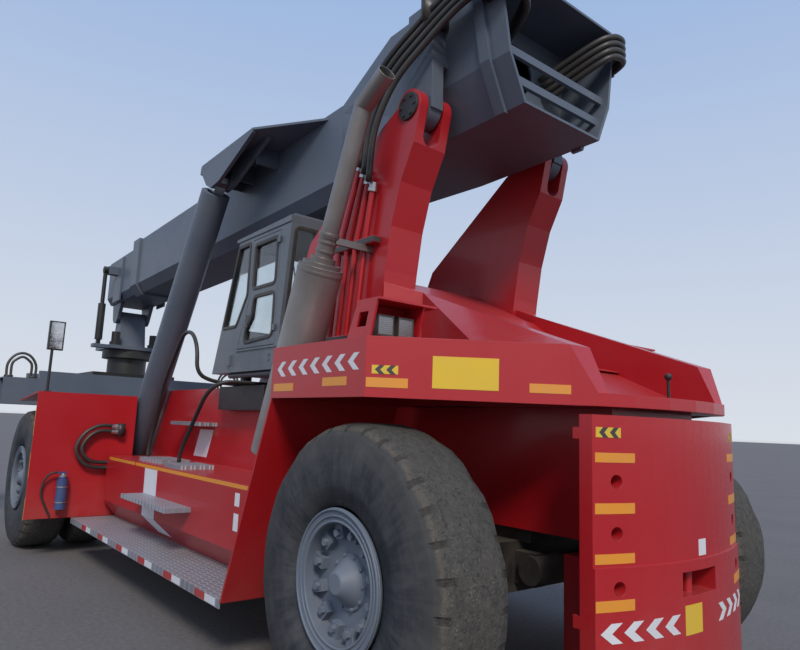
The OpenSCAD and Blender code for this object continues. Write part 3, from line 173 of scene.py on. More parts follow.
def wear_group():
    """Masks that all finishes share, from the object's own coordinates.

    Blotch is slow noise, Grain is fine noise, Streak is noise drawn out along Z, Splash grows from
    the height Clean down to the ground, Settled is the part of the surface that faces up, and
    Specks marks a few small spots.
    """
    tree = bpy.data.node_groups.new("wear", "ShaderNodeTree")
    clean = tree.interface.new_socket(name="Clean", in_out="INPUT", socket_type="NodeSocketFloat")
    clean.default_value = CLEAN_ABOVE
    for name in MASKS:
        tree.interface.new_socket(name=name, in_out="OUTPUT", socket_type="NodeSocketFloat")
    given = tree.nodes.new("NodeGroupInput").outputs
    where = own_place(tree)
    height = split(tree, where)[2]
    facing = split(tree, add(tree, "NewGeometry").outputs["Normal"])[2]
    drawn_out = vector_node(tree, "MULTIPLY", where, (9.0, 9.0, 0.7))
    near_ground = ramp(tree, height, given["Clean"], MUDDY_BELOW)
    splashes = ramp(tree, noise(tree, where, 3.1, 8.0, 0.68), 0.34, 0.66, 0.15, 1.0)
    heaps = ramp(tree, noise(tree, where, 4.7, 7.0, 0.62), 0.3, 0.7, 0.3, 1.0)
    values = (
        ramp(tree, noise(tree, where, 1.3, 6.0), 0.36, 0.66),
        noise(tree, where, 46.0, 5.0),
        ramp(tree, noise(tree, drawn_out, 1.6, 5.0), 0.5, 0.78),
        times(tree, near_ground, splashes),
        times(tree, ramp(tree, facing, 0.35, 0.95), heaps),
        ramp(tree, noise(tree, where, 27.0, 3.0, 0.7), 0.7, 0.74),
    )
    out = tree.nodes.new("NodeGroupOutput")
    give(tree, out, dict(zip(MASKS, values)))
    return tree


WEAR = wear_group()
DUST = (0.30, 0.25, 0.20)
RUST = (0.16, 0.055, 0.02)
FINISH = {}


def start(name, clean=CLEAN_ABOVE):
    """A new finish, kept by its name: its tree, its shared masks and its principled shader."""
    material = bpy.data.materials.new(name)
    material.use_nodes = True
    FINISH[name] = material
    tree = material.node_tree
    tree.nodes.clear()
    wear = add(tree, "Group", {"Clean": clean}, node_tree=WEAR)
    shader = add(tree, "BsdfPrincipled")
    add(tree, "OutputMaterial", {"Surface": shader.outputs[0]})
    return tree, wear.outputs, shader


def grained(tree, wear, smooth, rough):
    """Roughness between two values by the fine grain."""
    return ramp(tree, wear["Grain"], 0.3, 0.7, smooth, rough)


# Worn paint: radius of its edges, share of the dust that settles, how far streaks fade the
# colour, and how much the grain and the dust roughen it
EDGE_RADIUS = 0.004
SETTLING = 0.55
STREAKS = 0.35
GRAIN_ROUGHNESS = 0.12
DUST_ROUGHNESS = 0.4
COAT_ROUGHNESS = 0.12


def paint(name, colour, faded, rough, dust, rust, coat=0.0, metallic=0.0, clean=CLEAN_ABOVE):
    """Worn paint: colour fades in slow blotches and streaks, dust settles on top and splashes up
    from the ground, rust shows in small spots, and edges are rounded in the normal."""
    tree, wear, shader = start(name, clean)
    settled = times(tree, wear["Settled"], dust * SETTLING)
    dusty = plus(tree, times(tree, wear["Splash"], dust), settled, clamp=True)
    tone = mixed(tree, wear["Blotch"], colour, faded)
    tone = layered(tree, tone, ((wear["Streak"], STREAKS, faded), (dusty, 1.0, DUST),
                                (wear["Specks"], rust, RUST)))
    rougher = plus(tree, grained(tree, wear, rough, rough + GRAIN_ROUGHNESS),
                   times(tree, dusty, DUST_ROUGHNESS), clamp=True)
    edge = add(tree, "Bevel", {"Radius": EDGE_RADIUS}, samples=4).outputs[0]
    give(tree, shader, {
        "Base Color": tone, "Roughness": rougher, "Metallic": metallic,
        "Coat Weight": coat, "Coat Roughness": COAT_ROUGHNESS,
        "Normal": raised(tree, wear["Grain"], 0.12, 0.002, edge)})


# Cells of the tread plate in a metre, and the factors of a bar's ellipse along and across it
TREAD_PITCH = 22.0
BAR_ALONG = 1.4
BAR_ACROSS = 22.0


def tread_plate():
    """Galvanised tread plate: lens-shaped bars, each an ellipse in its own cell, turn by a right
    angle from cell to cell and raise the normal."""
    tree, wear, shader = start("galvanised")
    cells = vector_node(tree, "MULTIPLY", own_place(tree), (TREAD_PITCH, TREAD_PITCH, 0.0))
    centred = vector_node(tree, "SUBTRACT", vector_node(tree, "FRACTION", cells), (0.5, 0.5, 0.0))
    part = split(tree, centred)
    cell = split(tree, vector_node(tree, "FLOOR", cells))
    odd = math_node(tree, "FLOORED_MODULO", plus(tree, cell[0], cell[1]), 2.0)
    turned_y = times(tree, part[1], ramp(tree, odd, 0.0, 1.0, -1.0, 1.0))
    along = plus(tree, part[0], turned_y)
    across = math_node(tree, "SUBTRACT", part[0], turned_y)
    reach = plus(tree, times(tree, times(tree, along, along), BAR_ALONG),
                 times(tree, times(tree, across, across), BAR_ACROSS))
    bar = ramp(tree, reach, 1.0, 0.5)
    tone = mixed(tree, wear["Blotch"], (0.30, 0.31, 0.35), (0.22, 0.225, 0.25))
    tone = layered(tree, tone, ((wear["Settled"], 0.22, DUST), (bar, 0.75, (0.66, 0.67, 0.70))))
    give(tree, shader, {
        "Base Color": tone, "Metallic": 0.25,
        "Roughness": grained(tree, wear, 0.35, 0.6),
        "Normal": raised(tree, bar, 0.7, 0.004)})


# The wave that makes the rings in a tyre's wall, in radians from bead to tread's middle
WALL_RINGS = 44.0


def tyre_rubber():
    """Worn rubber from the tyre's own lug map: U counts lugs round the wheel, V runs from bead to
    bead.

    Across is 0 at the beads and 1 in the middle of the tread. The wall is dark with scuffs and
    faint rings and browner towards the tread, the tread is mottled with stones and pits behind a
    rim of dry mud, and short ragged notches cut its shoulder. The pits and notches are also darker
    in colour, which is painted shade.
    """
    tree, wear, shader = start("tyre")
    where = own_place(tree)
    lug_map = add(tree, "UVMap", uv_map="lugs").outputs[0]
    lug = split(tree, lug_map)
    ragged = noise(tree, where, 5.0, 6.0, 0.7)

    def torn(value, share):
        """A value made uneven by a share of the ragged noise."""
        return plus(tree, value, times(tree, ragged, share))

    off_centre = math_node(tree, "ABSOLUTE", plus(tree, lug[1], -0.5))
    across = ramp(tree, off_centre, 0.0, 0.5, 1.0, 0.0)
    phase = math_node(tree, "ABSOLUTE", plus(tree, math_node(tree, "FRACT", lug[0]), -0.5))
    band = times(tree, ramp(tree, torn(across, 0.2), 0.70, 0.74),
                 ramp(tree, torn(across, 0.5), 1.04, 0.96))
    notch = times(tree, ramp(tree, torn(phase, 0.16), 0.45, 0.50), band)
    edge = torn(across, 0.07)
    tread = ramp(tree, edge, 0.66, 0.70)
    rim_of_mud = times(tree, tread, ramp(tree, edge, 0.76, 0.70))
    clods = ramp(tree, noise(tree, where, 22.0, 9.0, 0.75), 0.32, 0.68)
    stones = ramp(tree, noise(tree, where, 75.0, 3.0, 0.6), 0.60, 0.66)
    pits = ramp(tree, noise(tree, where, 52.0, 4.0, 0.7), 0.42, 0.34)
    rings = math_node(tree, "SINE", times(tree, across, WALL_RINGS))
    radial = vector_node(tree, "MULTIPLY", lug_map, (1.1, 2.0, 1.0))
    scuffs = plus(tree, times(tree, noise(tree, radial, 3.0, 6.0, 0.6), 0.4),
                  times(tree, noise(tree, where, 6.0, 8.0, 0.65), 0.6))
    wall = mixed(tree, ramp(tree, scuffs, 0.40, 0.62), (0.028, 0.032, 0.037),
                 (0.068, 0.070, 0.074))
    wall = layered(tree, wall, (
        (ramp(tree, rings, 0.85, 1.0), 0.10, (0.11, 0.11, 0.11)),
        (ramp(tree, across, 0.35, 0.68), 0.45, (0.098, 0.088, 0.078))))
    worn = mixed(tree, clods, (0.055, 0.052, 0.048), (0.125, 0.115, 0.100))
    # The pits' near-black colour here is painted shade in them; the stones, blotches and rim of mud
    # are the tread's own colours.
    worn = layered(tree, worn, (
        (stones, 0.5, (0.27, 0.25, 0.21)), (pits, 0.6, (0.025, 0.023, 0.021)),
        (wear["Blotch"], 0.35, (0.075, 0.074, 0.070)), (rim_of_mud, 0.4, (0.20, 0.165, 0.13))))
    # The notches' near-black colour is painted shade in the cuts.
    tone = layered(tree, mixed(tree, tread, wall, worn), ((notch, 0.55, (0.024, 0.022, 0.020)),))
    height = times(tree, notch, -1.6)
    for part, share in ((times(tree, clods, tread), 0.9), (times(tree, stones, tread), 0.4),
                        (times(tree, pits, tread), -0.5), (rings, 0.04)):
        height = plus(tree, height, times(tree, part, share))
    give(tree, shader, {
        "Base Color": tone, "Roughness": 0.85, "Specular IOR Level": 0.3,
        "Normal": raised(tree, height, 0.8, 0.010)})


def clear_glass():
    """Clear glass with a slight green tint that is deeper in slow blotches of dust."""
    tree, wear, shader = start("glass")
    tone = mixed(tree, wear["Blotch"], (0.90, 0.94, 0.93), (0.74, 0.79, 0.79))
    give(tree, shader, {
        "Base Color": tone, "Transmission Weight": 1.0, "IOR": 1.45,
        "Roughness": ramp(tree, wear["Streak"], 0.0, 1.0, 0.02, 0.07)})


FILM_OF_DUST = 0.18


def plain(name, colour, rough, metallic=0.0, shine=0.0):
    """One colour with a light film of dust and a fine grain."""
    tree, wear, shader = start(name)
    tone = mixed(tree, times(tree, wear["Blotch"], FILM_OF_DUST), colour, DUST)
    give(tree, shader, {
        "Base Color": tone, "Roughness": grained(tree, wear, rough, rough + 0.1),
        "Metallic": metallic, "Coat Weight": shine})


# Domes of a lamp's lens and radians of a thread's wave in a metre
LENS_DOMES = 90.0
THREADS = 900.0


def lamp_lens():
    """Ribbed lens over a bright bowl: a square lattice of small domes in the normal."""
    tree, wear, shader = start("lamp_lens")
    inputs = {"Vector": own_place(tree), "Scale": LENS_DOMES, "Randomness": 0.0}
    dots = add(tree, "TexVoronoi", inputs).outputs["Distance"]
    tone = mixed(tree, wear["Blotch"], (0.42, 0.44, 0.47), (0.28, 0.28, 0.28))
    give(tree, shader, {
        "Base Color": tone, "Metallic": 0.6, "Roughness": 0.18,
        "Normal": raised(tree, dots, 0.6, 0.003)})


def seat_fabric():
    """Coarse woven cloth: two crossed waves of thread raise the normal, and the same waves paint a
    highlight on the crowns and shade in the hollows between them.
    """
    tree, wear, shader = start("seat_fabric")
    where = split(tree, own_place(tree))
    warp = math_node(tree, "SINE", times(tree, plus(tree, where[0], where[2]), THREADS))
    weft = math_node(tree, "SINE", times(tree, where[1], THREADS))
    weave_and_highlight = ramp(tree, times(tree, warp, weft), -1.0, 1.0)
    # Painted highlight and shade: the cloth is lighter on the crowns of the weave and darker in its
    # hollows.
    tone = mixed(tree, weave_and_highlight, (0.014, 0.014, 0.017), (0.040, 0.040, 0.046))
    tone = layered(tree, tone, ((wear["Blotch"], 0.3, (0.07, 0.065, 0.06)),))
    give(tree, shader, {
        "Base Color": tone, "Roughness": 0.9, "Sheen Weight": 0.3,
        "Normal": raised(tree, weave_and_highlight, 0.5, 0.001)})


def all_finishes():
    """Every finish, by the record's slot name or its own."""
    paint("red_paint", (0.42, 0.006, 0.010), (0.44, 0.013, 0.019), 0.34, 0.22, 0.3, coat=0.25,
          clean=1.0)
    paint("slate_paint", (0.088, 0.112, 0.150), (0.115, 0.135, 0.168), 0.38, 0.2, 0.25)
    paint("cab_paint", (0.090, 0.108, 0.130), (0.125, 0.14, 0.16), 0.36, 0.25, 0.1, coat=0.2)
    paint("black_paint", (0.010, 0.010, 0.011), (0.03, 0.028, 0.027), 0.42, 0.55, 0.4)
    paint("rim_paint", (0.105, 0.14, 0.195), (0.15, 0.18, 0.22), 0.4, 0.22, 0.25)
    paint("exhaust_alloy", (0.36, 0.34, 0.325), (0.24, 0.215, 0.20), 0.42, 0.1, 0.2,
          metallic=0.75)
    tread_plate()
    tyre_rubber()
    clear_glass()
    plain("cylinder_chrome", (0.62, 0.63, 0.65), 0.14, metallic=1.0)
    plain("bright_steel", (0.55, 0.56, 0.58), 0.3, metallic=0.9)
    plain("mirror_glass", (0.80, 0.81, 0.82), 0.03, metallic=1.0)
    plain("black_plastic", (0.018, 0.018, 0.019), 0.5)
    plain("rubber", (0.014, 0.015, 0.017), 0.38)
    seat_fabric()
    plain("bottle_blue", (0.02, 0.06, 0.2), 0.3, shine=0.3)
    lamp_lens()
    plain("reflector", (0.82, 0.30, 0.012), 0.4, shine=0.15)
    plain("white_mark", (0.74, 0.75, 0.78), 0.42)
    plain("yellow_mark", (0.78, 0.50, 0.02), 0.42)
    plain("black_mark", (0.02, 0.022, 0.03), 0.5)
    plain("red_mark", (0.45, 0.02, 0.02), 0.45)


all_finishes()


def repaint():
    """Gives each CAD node the procedural finish of its slot."""
    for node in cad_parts.values():
        slots = node.data.materials
        for i, old in enumerate(slots):
            base = old.name.split(".")[0] if old else ""
            slots[i] = FINISH.get(base, FINISH["black_paint"])


repaint()

# Mesh helpers: a shape is an array of points with faces, which are lists of the points' numbers


def cells_of(array):
    """The four corners of each cell of a grid of rows by columns, in turn."""
    return np.stack([array[:-1, :-1], array[:-1, 1:], array[1:, 1:], array[1:, :-1]], 2)


def grid(points, wrap_rows=False, wrap_columns=False):
    """Four-cornered faces between neighbours in an array of rows by columns by 3, closed round
    where a side is wrapped."""
    rows, columns = points.shape[:2]
    index = np.arange(rows * columns).reshape(rows, columns)
    if wrap_rows:
        index = np.vstack([index, index[:1]])
    if wrap_columns:
        index = np.hstack([index, index[:, :1]])
    return points.reshape(-1, 3), cells_of(index).reshape(-1, 4).tolist()


def enclosed(points, faces):
    """Volume inside faces, as the sum of triple products over fans of triangles."""
    corners = np.array([(f[0], f[k], f[k + 1]) for f in faces for k in range(1, len(f) - 1)])
    a, b, c = (points[corners[:, k]] - points.mean(axis=0) for k in range(3))
    return float(np.einsum("ij,ij->i", a, np.cross(b, c)).sum()) / 6.0


def outward(shape):
    """The same shape with every face turned round if it encloses a negative volume."""
    points, faces = shape
    return shape if enclosed(points, faces) > 0 else (points, [f[::-1] for f in faces])


def solid(rings):
    """Closed shape through rings of equal point count, an array of rings by points by 3, capped at
    both ends."""
    rings = np.asarray(rings, float)
    points, faces = grid(rings, wrap_columns=True)
    sides = rings.shape[1]
    last = (rings.shape[0] - 1) * sides
    faces += [list(range(sides))[::-1], list(range(last, last + sides))]
    return outward((points, faces))


def joined(shapes, mirror=False):
    """One shape from many, with a copy across the Y = 0 plane where mirror is set."""
    points, faces, base = [], [], 0
    for p, f in shapes:
        for side in ((1, -1) if mirror else (1,)):
            points.append(p * (1, side, 1))
            faces += [[base + i for i in (face if side > 0 else face[::-1])] for face in f]
            base += len(p)
    return np.concatenate(points), faces


def mesh_of(name, shape, material):
    """A mesh with a shape's points, faces and one material."""
    points, faces = shape
    mesh = bpy.data.meshes.new(name)
    mesh.from_pydata(points.tolist(), [], faces)
    mesh.update()
    mesh.materials.append(material)
    return mesh


def piece(name, shape, finish, body, smooth=False):
    """A mesh object at the origin with its place in its mesh, riding on a body."""
    mesh = mesh_of(name, shape, FINISH[finish])
    if smooth:
        mesh.polygons.foreach_set("use_smooth", [True] * len(mesh.polygons))
    obj = in_scene(name, mesh)
    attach(obj, body)
    return obj


def square_to(axis):
    """The unit axis and two unit directions across it."""
    axis = np.asarray(axis, float) / np.linalg.norm(axis)
    other = np.array((0.0, 0.0, 1.0)) if abs(axis[2]) < 0.9 else np.array((1.0, 0.0, 0.0))
    across = np.cross(axis, other)
    across /= np.linalg.norm(across)
    return axis, across, np.cross(axis, across)


def angles(count):
    """Equal angles round a full turn."""
    return 2 * np.pi * np.arange(count) / count


def circle(u, v, sides):
    """Unit circle in the plane of two directions, at equal angles."""
    angle = angles(sides)
    return np.outer(np.cos(angle), u) + np.outer(np.sin(angle), v)


def turned(centre, axis, profile, sides):
    """Solid of revolution: ring i is centre + axis * distance i + radius i * the unit circle."""
    axis, u, v = square_to(axis)
    radius, distance = np.asarray(profile, float).T[:, :, None, None]
    return solid(np.asarray(centre, float) + distance * axis + radius * circle(u, v, sides))


def swept(path, r, sides=6, across=(0.0, 1.0, 0.0)):
    """Round rod: a circle of radius r square to the path at each of its points, turned towards
    across."""
    path, across = np.asarray(path, float), np.asarray(across, float)
    t = np.gradient(path, axis=0)
    t /= np.linalg.norm(t, axis=1)[:, None]
    u = across - (t @ across)[:, None] * t
    u /= np.linalg.norm(u, axis=1)[:, None]
    v = np.cross(t, u)
    angle = angles(sides)[None, :, None]
    return solid(path[:, None, :] + r * (np.cos(angle) * u[:, None, :]
                                         + np.sin(angle) * v[:, None, :]))


def block(x0, x1, y0, y1, z0, z1):
    """Upright box between two corners, as two rings of four points."""
    ring = np.array([(x0, y0), (x1, y0), (x1, y1), (x0, y1)])
    return solid([np.column_stack([ring, np.full(4, z)]) for z in (z0, z1)])


def bolt(centre, axis, r):
    """Washer with a six-sided head on it, in shares of the head's radius."""
    washer = [(r * 1.25, 0.0), (r * 1.25, r * 0.18)]
    head = [(r, r * 0.17), (r, r * 0.75), (r * 0.86, r * 0.85)]
    return [turned(centre, axis, washer, 12), turned(centre, axis, head, 6)]


TORUS_SIDES = 48
TORUS_SECTION = 8


def torus(centre, axis, ring, r):
    """Round ring: a circle of radius r carried round a circle of radius ring."""
    axis, u, v = square_to(axis)
    angle = angles(TORUS_SECTION)[None, :, None]
    out = circle(u, v, TORUS_SIDES)[:, None, :]
    points = (np.asarray(centre, float) + out * (ring + r * np.cos(angle))
              + r * np.sin(angle) * axis)
    return outward(grid(points, wrap_rows=True, wrap_columns=True))


def ring_of_bolts(centre, axis, ring, count, r):
    """Bolts at equal angles round a centre."""
    _, u, v = square_to(axis)
    places = np.asarray(centre, float) + ring * circle(u, v, count)
    return [shape for place in places for shape in bolt(place, axis, r)]


def corner_curves(before, corner, after, radius, most, steps):
    """Quadratic curve at each corner: corner + (1 - t) squared times one arm + t squared times the
    other. An arm reaches by radius towards its neighbour, but not past the share most."""
    arms = []
    for arm in (before - corner, after - corner):
        reach = radius / np.linalg.norm(arm, axis=2, keepdims=True)
        arms.append(arm * np.minimum(reach, most))
    t = np.linspace(0.0, 1.0, steps + 1)[None, :, None]
    return corner + (1 - t) ** 2 * arms[0] + t ** 2 * arms[1]


# Tyres: every third row of each shoulder is cut lower, which makes the notches

TYRE_R = 0.830
TYRE_ROWS = 48
TYRE_LUGS = 32
NOTCH_EVERY = 3
# Half section from bead to tread: radius, distance from the middle plane, share of the notches'
# depth
TYRE_HALF = ((0.391, 0.212, 0.0), (0.530, 0.245, 0.0), (0.760, 0.234, 0.4), (0.811, 0.192, 1.0),
             (0.8285, 0.122, 0.0))
# Depth of a notch, how much it varies, and the most that the rows between are worn
NOTCH_DEPTH = 0.009
NOTCH_SPREAD = 0.005
WORN_AWAY = 0.002
# Body, node of its tyres, X of its axle and the middles of its tyres, the outer one last
WHEELS = [("rear_wheel_left", "rear_tyre_left", REAR_AXLE_X, (1.393,)),
          ("rear_wheel_right", "rear_tyre_right", REAR_AXLE_X, (-1.393,)),
          ("front_wheel_left", "front_tyres_left", FRONT_AXLE_X, (1.230, 1.805)),
          ("front_wheel_right", "front_tyres_right", FRONT_AXLE_X, (-1.230, -1.805))]


def tyre_mesh(centre_x, centre_y, turn):
    """One worn tyre as a grid of angle by profile, closed between its beads, with its lug map.

    The radius of a point is its profile's radius less its share of the row's depth, which is the
    notch's depth on every third row, give or take a fixed sine of the row's number. turn shifts the
    rows round the wheel. U is the angle in lugs and V the length along the profile from 0 to 1.
    """
    half = np.array(TYRE_HALF)
    profile = np.vstack([half * (1, -1, 1), half[::-1]])
    row = np.arange(TYRE_ROWS)
    angle = 2 * np.pi * (row + turn) / TYRE_ROWS
    depth = np.where(row % NOTCH_EVERY == 0, NOTCH_DEPTH + NOTCH_SPREAD * np.sin(row * 12.9898),
                     WORN_AWAY * np.abs(np.sin(row * 7.1)))
    radius = profile[None, :, 0] - depth[:, None] * profile[None, :, 2]
    points = np.stack([centre_x + radius * np.cos(angle)[:, None],
                       np.broadcast_to(centre_y + profile[None, :, 1], radius.shape),
                       TYRE_R + radius * np.sin(angle)[:, None]], -1)
    step = np.linalg.norm(np.diff(profile[:, :2], axis=0), axis=1)
    along = np.concatenate([[0.0], np.cumsum(step) / step.sum(), [1.0]])
    lug = np.arange(TYRE_ROWS + 1) * TYRE_LUGS / TYRE_ROWS
    corner = np.stack(np.broadcast_arrays(lug[:, None], along[None, :]), -1)
    return grid(points, wrap_rows=True, wrap_columns=True), cells_of(corner).reshape(-1, 2)


def tyres():
    """Six tyres on four bodies; the tread's form and its notches are in their meshes."""
    for body, node, x, places in WHEELS:
        made = [tyre_mesh(x, y, 0.5 * i) for i, y in enumerate(places)]
        points, faces = joined([shape for shape, _ in made])
        loops = np.concatenate([part for _, part in made]).reshape(-1, 4, 2)
        if enclosed(points, faces) < 0:
            faces = [face[::-1] for face in faces]
            loops = loops[:, ::-1]
        obj = piece(node + "_skin", (points, faces), "tyre", body, smooth=True)
        layer = obj.data.uv_layers.new(name="lugs")
        layer.data.foreach_set("uv", loops.astype(np.float32).ravel())
        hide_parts(node)


tyres()

# Walls of the machine: each gives the points at (a, z) on a wall, lifted off it

DECK_HALF = 1.63
CAB_HALF = 0.75
# Where the cab's front and back stand at its floor, from the rear axle, and how they lean
CAB_FLOOR_Z = 2.54
CAB_FRONT_X = 3.70
CAB_RISE_PER_LEAN = 3.0
CAB_BACK_X = 2.395
CAB_BACK_LEAN = 0.1094
# The deck's slant: where it starts, X for each metre of Y, and its direction outwards
SLANT_X = -4.99
SLANT_LEAN = 0.7647
SLANT_OUT = (-0.794, 0.607)
# The slope under a side box: Y and Z of its foot, Y for each metre of Z, and its direction outwards
SLOPE_FOOT = (1.15, 0.46)
SLOPE_LEAN = 0.7895
SLOPE_OUT = (0.785, -0.62)
# The counterweight's rear: X in its middle, how far its edges stand forward, and its ledge
WEIGHT_X = -5.9075
WEIGHT_BOW = 0.14
WEIGHT_HALF = 0.77
LEDGE_Z = 1.0
LEDGE_OUT = 0.012


def on_wall(x, y, z):
    """Points as an array, from coordinates that are arrays or single numbers."""
    return np.stack(np.broadcast_arrays(x, y, z), -1).astype(float)


def side_wall(y, x0=0.0):
    """An upright wall along the machine at a distance left of its middle; a is X from x0."""
    return lambda a, z, lift: on_wall(x0 + a, y + np.sign(y) * lift, z)


# The rear deck's side wall, which the footboards end flush with
deck_side = side_wall(DECK_HALF)
# A side box's outer wall, and the frame's wall over it
tank_side = side_wall(1.30)
frame_side = side_wall(0.60)
# The outer edge of a front fender's plate
fender_edge = side_wall(2.10)
cab_left = side_wall(CAB_HALF, REAR_AXLE_X)
cab_right = side_wall(-CAB_HALF, REAR_AXLE_X)


def deck_slant(a, z, lift):
    """The slanted wall behind the deck's side; a is Y."""
    x = SLANT_X - SLANT_LEAN * (DECK_HALF - a) + SLANT_OUT[0] * lift
    return on_wall(x, a + SLANT_OUT[1] * lift, z)


def weight_rear(a, z, lift):
    """The counterweight's rear; a is Y. X follows a parabola and steps out below the ledge."""
    bow = WEIGHT_BOW * (a / WEIGHT_HALF) ** 2
    return on_wall(WEIGHT_X + bow - np.where(z < LEDGE_Z, LEDGE_OUT, 0.0) - lift, a, z)


def tank_slope(a, z, lift):
    """The sloped wall below a side box's outer wall; a is X."""
    y = SLOPE_FOOT[0] + SLOPE_LEAN * (z - SLOPE_FOOT[1]) + SLOPE_OUT[0] * lift
    return on_wall(a, y, z + SLOPE_OUT[1] * lift)


def cab_front(a, z, lift):
    """The cab's leaning front; a is Y."""
    lean = (z - CAB_FLOOR_Z) / CAB_RISE_PER_LEAN
    return on_wall(REAR_AXLE_X + CAB_FRONT_X - lean + lift, a, z)


def cab_back(a, z, lift):
    """The cab's leaning back; a is Y."""
    lean = (z - CAB_FLOOR_Z) * CAB_BACK_LEAN
    return on_wall(REAR_AXLE_X + CAB_BACK_X - lean - lift, a, z)


# Markings: thin plates that stand proud of the wall they lie on

PROUD = 0.0015
SUNK = 0.002
# How much further a mark stands that lies on a mark
ON_TOP = 0.0008


def mark(face, a0, a1, z0, z1, lean=0.0, cells=6):
    """Four-cornered plate: a section of four points carried from a0 to a1; lean moves the top edge
    along a."""
    a = np.linspace(a0, a1, cells + 1)[:, None]
    z = np.array([z0, z1, z1, z0], float)
    shift = np.array([0.0, lean, lean, 0.0])
    lift = np.array([PROUD, PROUD, -SUNK, -SUNK])
    return solid(face(a + shift, z, lift))


def chevron(face, tip, width, back, z0, z1):
    """Arrowhead made of two leaning plates that meet at the height of its tip; back is how far it
    trails."""
    mid = 0.5 * (z0 + z1)
    return [mark(face, tip + back, tip + back + width, z0, mid, -back, 2),
            mark(face, tip, tip + width, mid, z1, back, 2)]


def over(face):
    """The same wall, lifted a little more."""
    return lambda a, z, lift: face(a, z, lift + ON_TOP)


# Reflectors: wall, start, end, low and high edge
REFLECTORS = [
    (deck_side, -4.02, -4.26, 1.832, 1.879), (deck_side, -4.585, -4.825, 1.853, 1.901),
    (deck_slant, 1.625, 1.452, 1.842, 1.892), (deck_slant, 0.948, 0.762, 1.846, 1.894),
    (weight_rear, 0.755, 0.513, 1.508, 1.556), (weight_rear, 0.757, 0.518, 1.256, 1.308),
    (weight_rear, 0.759, 0.523, 1.016, 1.064), (weight_rear, 0.768, 0.541, 0.795, 0.848),
    (tank_side, -3.20, -0.46, 1.120, 1.152), (tank_side, -0.43, 0.50, 1.120, 1.152),
    (fender_edge, 0.6925, 0.7085, 1.38, 1.70), (fender_edge, 0.6925, 0.7085, 0.905, 1.185),
    (fender_edge, 0.6925, 0.7085, 0.445, 0.69)]
# White plates and stripes, with the lean of the top edge
WHITE = [
    (tank_side, -0.79, -1.15, 0.650, 1.117, 0.02), (tank_slope, -1.02, -1.36, 0.510, 0.650, 0.22),
    (frame_side, -0.275, -0.645, 1.215, 1.520, -0.14), (tank_side, -2.90, -2.98, 0.985, 1.085),
    (tank_side, -2.90, -2.98, 0.800, 0.930)]
# Small yellow plates with two dark arrowheads
ARROW_PLATES = [(deck_slant, 1.603, 1.494, 1.912, 1.957), (weight_rear, 0.750, 0.602, 1.632, 1.683)]
# The arrowheads on such a plate, in shares of its length: their tips, width and trail
ARROW_TIPS = (0.12, 0.55)
ARROW_WIDTH = 0.2
ARROW_TRAIL = 0.16
YELLOW = [(deck_slant, 1.352, 1.076, 1.848, 2.016)] + ARROW_PLATES
# Rows of white chevrons: wall, tips, width, trail, low and high edge, rise from one to the next
CHEVRONS = [
    (deck_side, [-4.055 - 0.129 * i for i in range(7)], -0.05, -0.055, 1.922, 2.014, 0.002),
    (weight_rear, (0.742, 0.608, 0.470, 0.334), -0.062, -0.062, 0.648, 0.742, 0.0)]
# Tape on the footboards' edges: pairs of a red and a white strip, X of the first, step to the
# next, ends of the red and of the white strip behind the pair's start, low and high edge
TAPE_PAIRS = 6
TAPE_START = 0.10
TAPE_STEP = 0.63
TAPE_RED = 0.18
TAPE_WHITE = 0.35
TAPE_Z = (0.405, 0.455)
# Blank plates in the middle of the counterweight
REAR_PLATE = (weight_rear, 0.165, 0.0, 0.630, 0.778)
REAR_LABEL = (weight_rear, -0.006, -0.088, 1.014, 1.100)


def markings():
    """Reflectors, chevrons, blank plates and safety tape, the same on both sides of the machine."""
    reflectors, white, yellow = ([mark(*row) for row in rows]
                                 for rows in (REFLECTORS, WHITE, YELLOW))
    for face, tips, width, trail, z0, z1, rise in CHEVRONS:
        for i, tip in enumerate(tips):
            white += chevron(face, tip, width, trail, z0 + rise * i, z1 + rise * i)
    black = []
    for face, a0, a1, z0, z1 in ARROW_PLATES:
        span = a1 - a0
        for share in ARROW_TIPS:
            black += chevron(over(face), a0 + share * span, ARROW_WIDTH * span,
                             ARROW_TRAIL * span, z0, z1)
    red = []
    for i in range(TAPE_PAIRS):
        place = TAPE_START - TAPE_STEP * i
        red.append(mark(deck_side, place, place - TAPE_RED, *TAPE_Z, cells=1))
        white.append(mark(deck_side, place - TAPE_RED, place - TAPE_WHITE, *TAPE_Z, cells=1))
    table = (("reflectors", reflectors, "reflector"), ("white_marks", white, "white_mark"),
             ("yellow_plates", yellow, "yellow_mark"), ("black_arrows", black, "black_mark"),
             ("red_tape", red, "red_mark"))
    for name, shapes, finish in table:
        piece(name, joined(shapes, mirror=True), finish, "chassis")
    piece("rear_plate", mark(*REAR_PLATE), "yellow_mark", "chassis")
    piece("rear_label", mark(*REAR_LABEL), "white_mark", "chassis")


markings()

# Seals round the panes


def rounded(points, radius):
    """Closed outline with its corners rounded."""
    points = np.asarray(points, float)[:, None, :]
    before, after = np.roll(points, 1, axis=0), np.roll(points, -1, axis=0)
    return corner_curves(before, points, after, radius, 0.45, 5).reshape(-1, 2)


# Section of a seal: distance out from the pane's edge, height over the wall
SEAL = np.array([(0.022, -0.002), (0.022, 0.005), (0.009, 0.008), (-0.014, 0.005),
                 (-0.014, -0.020)])


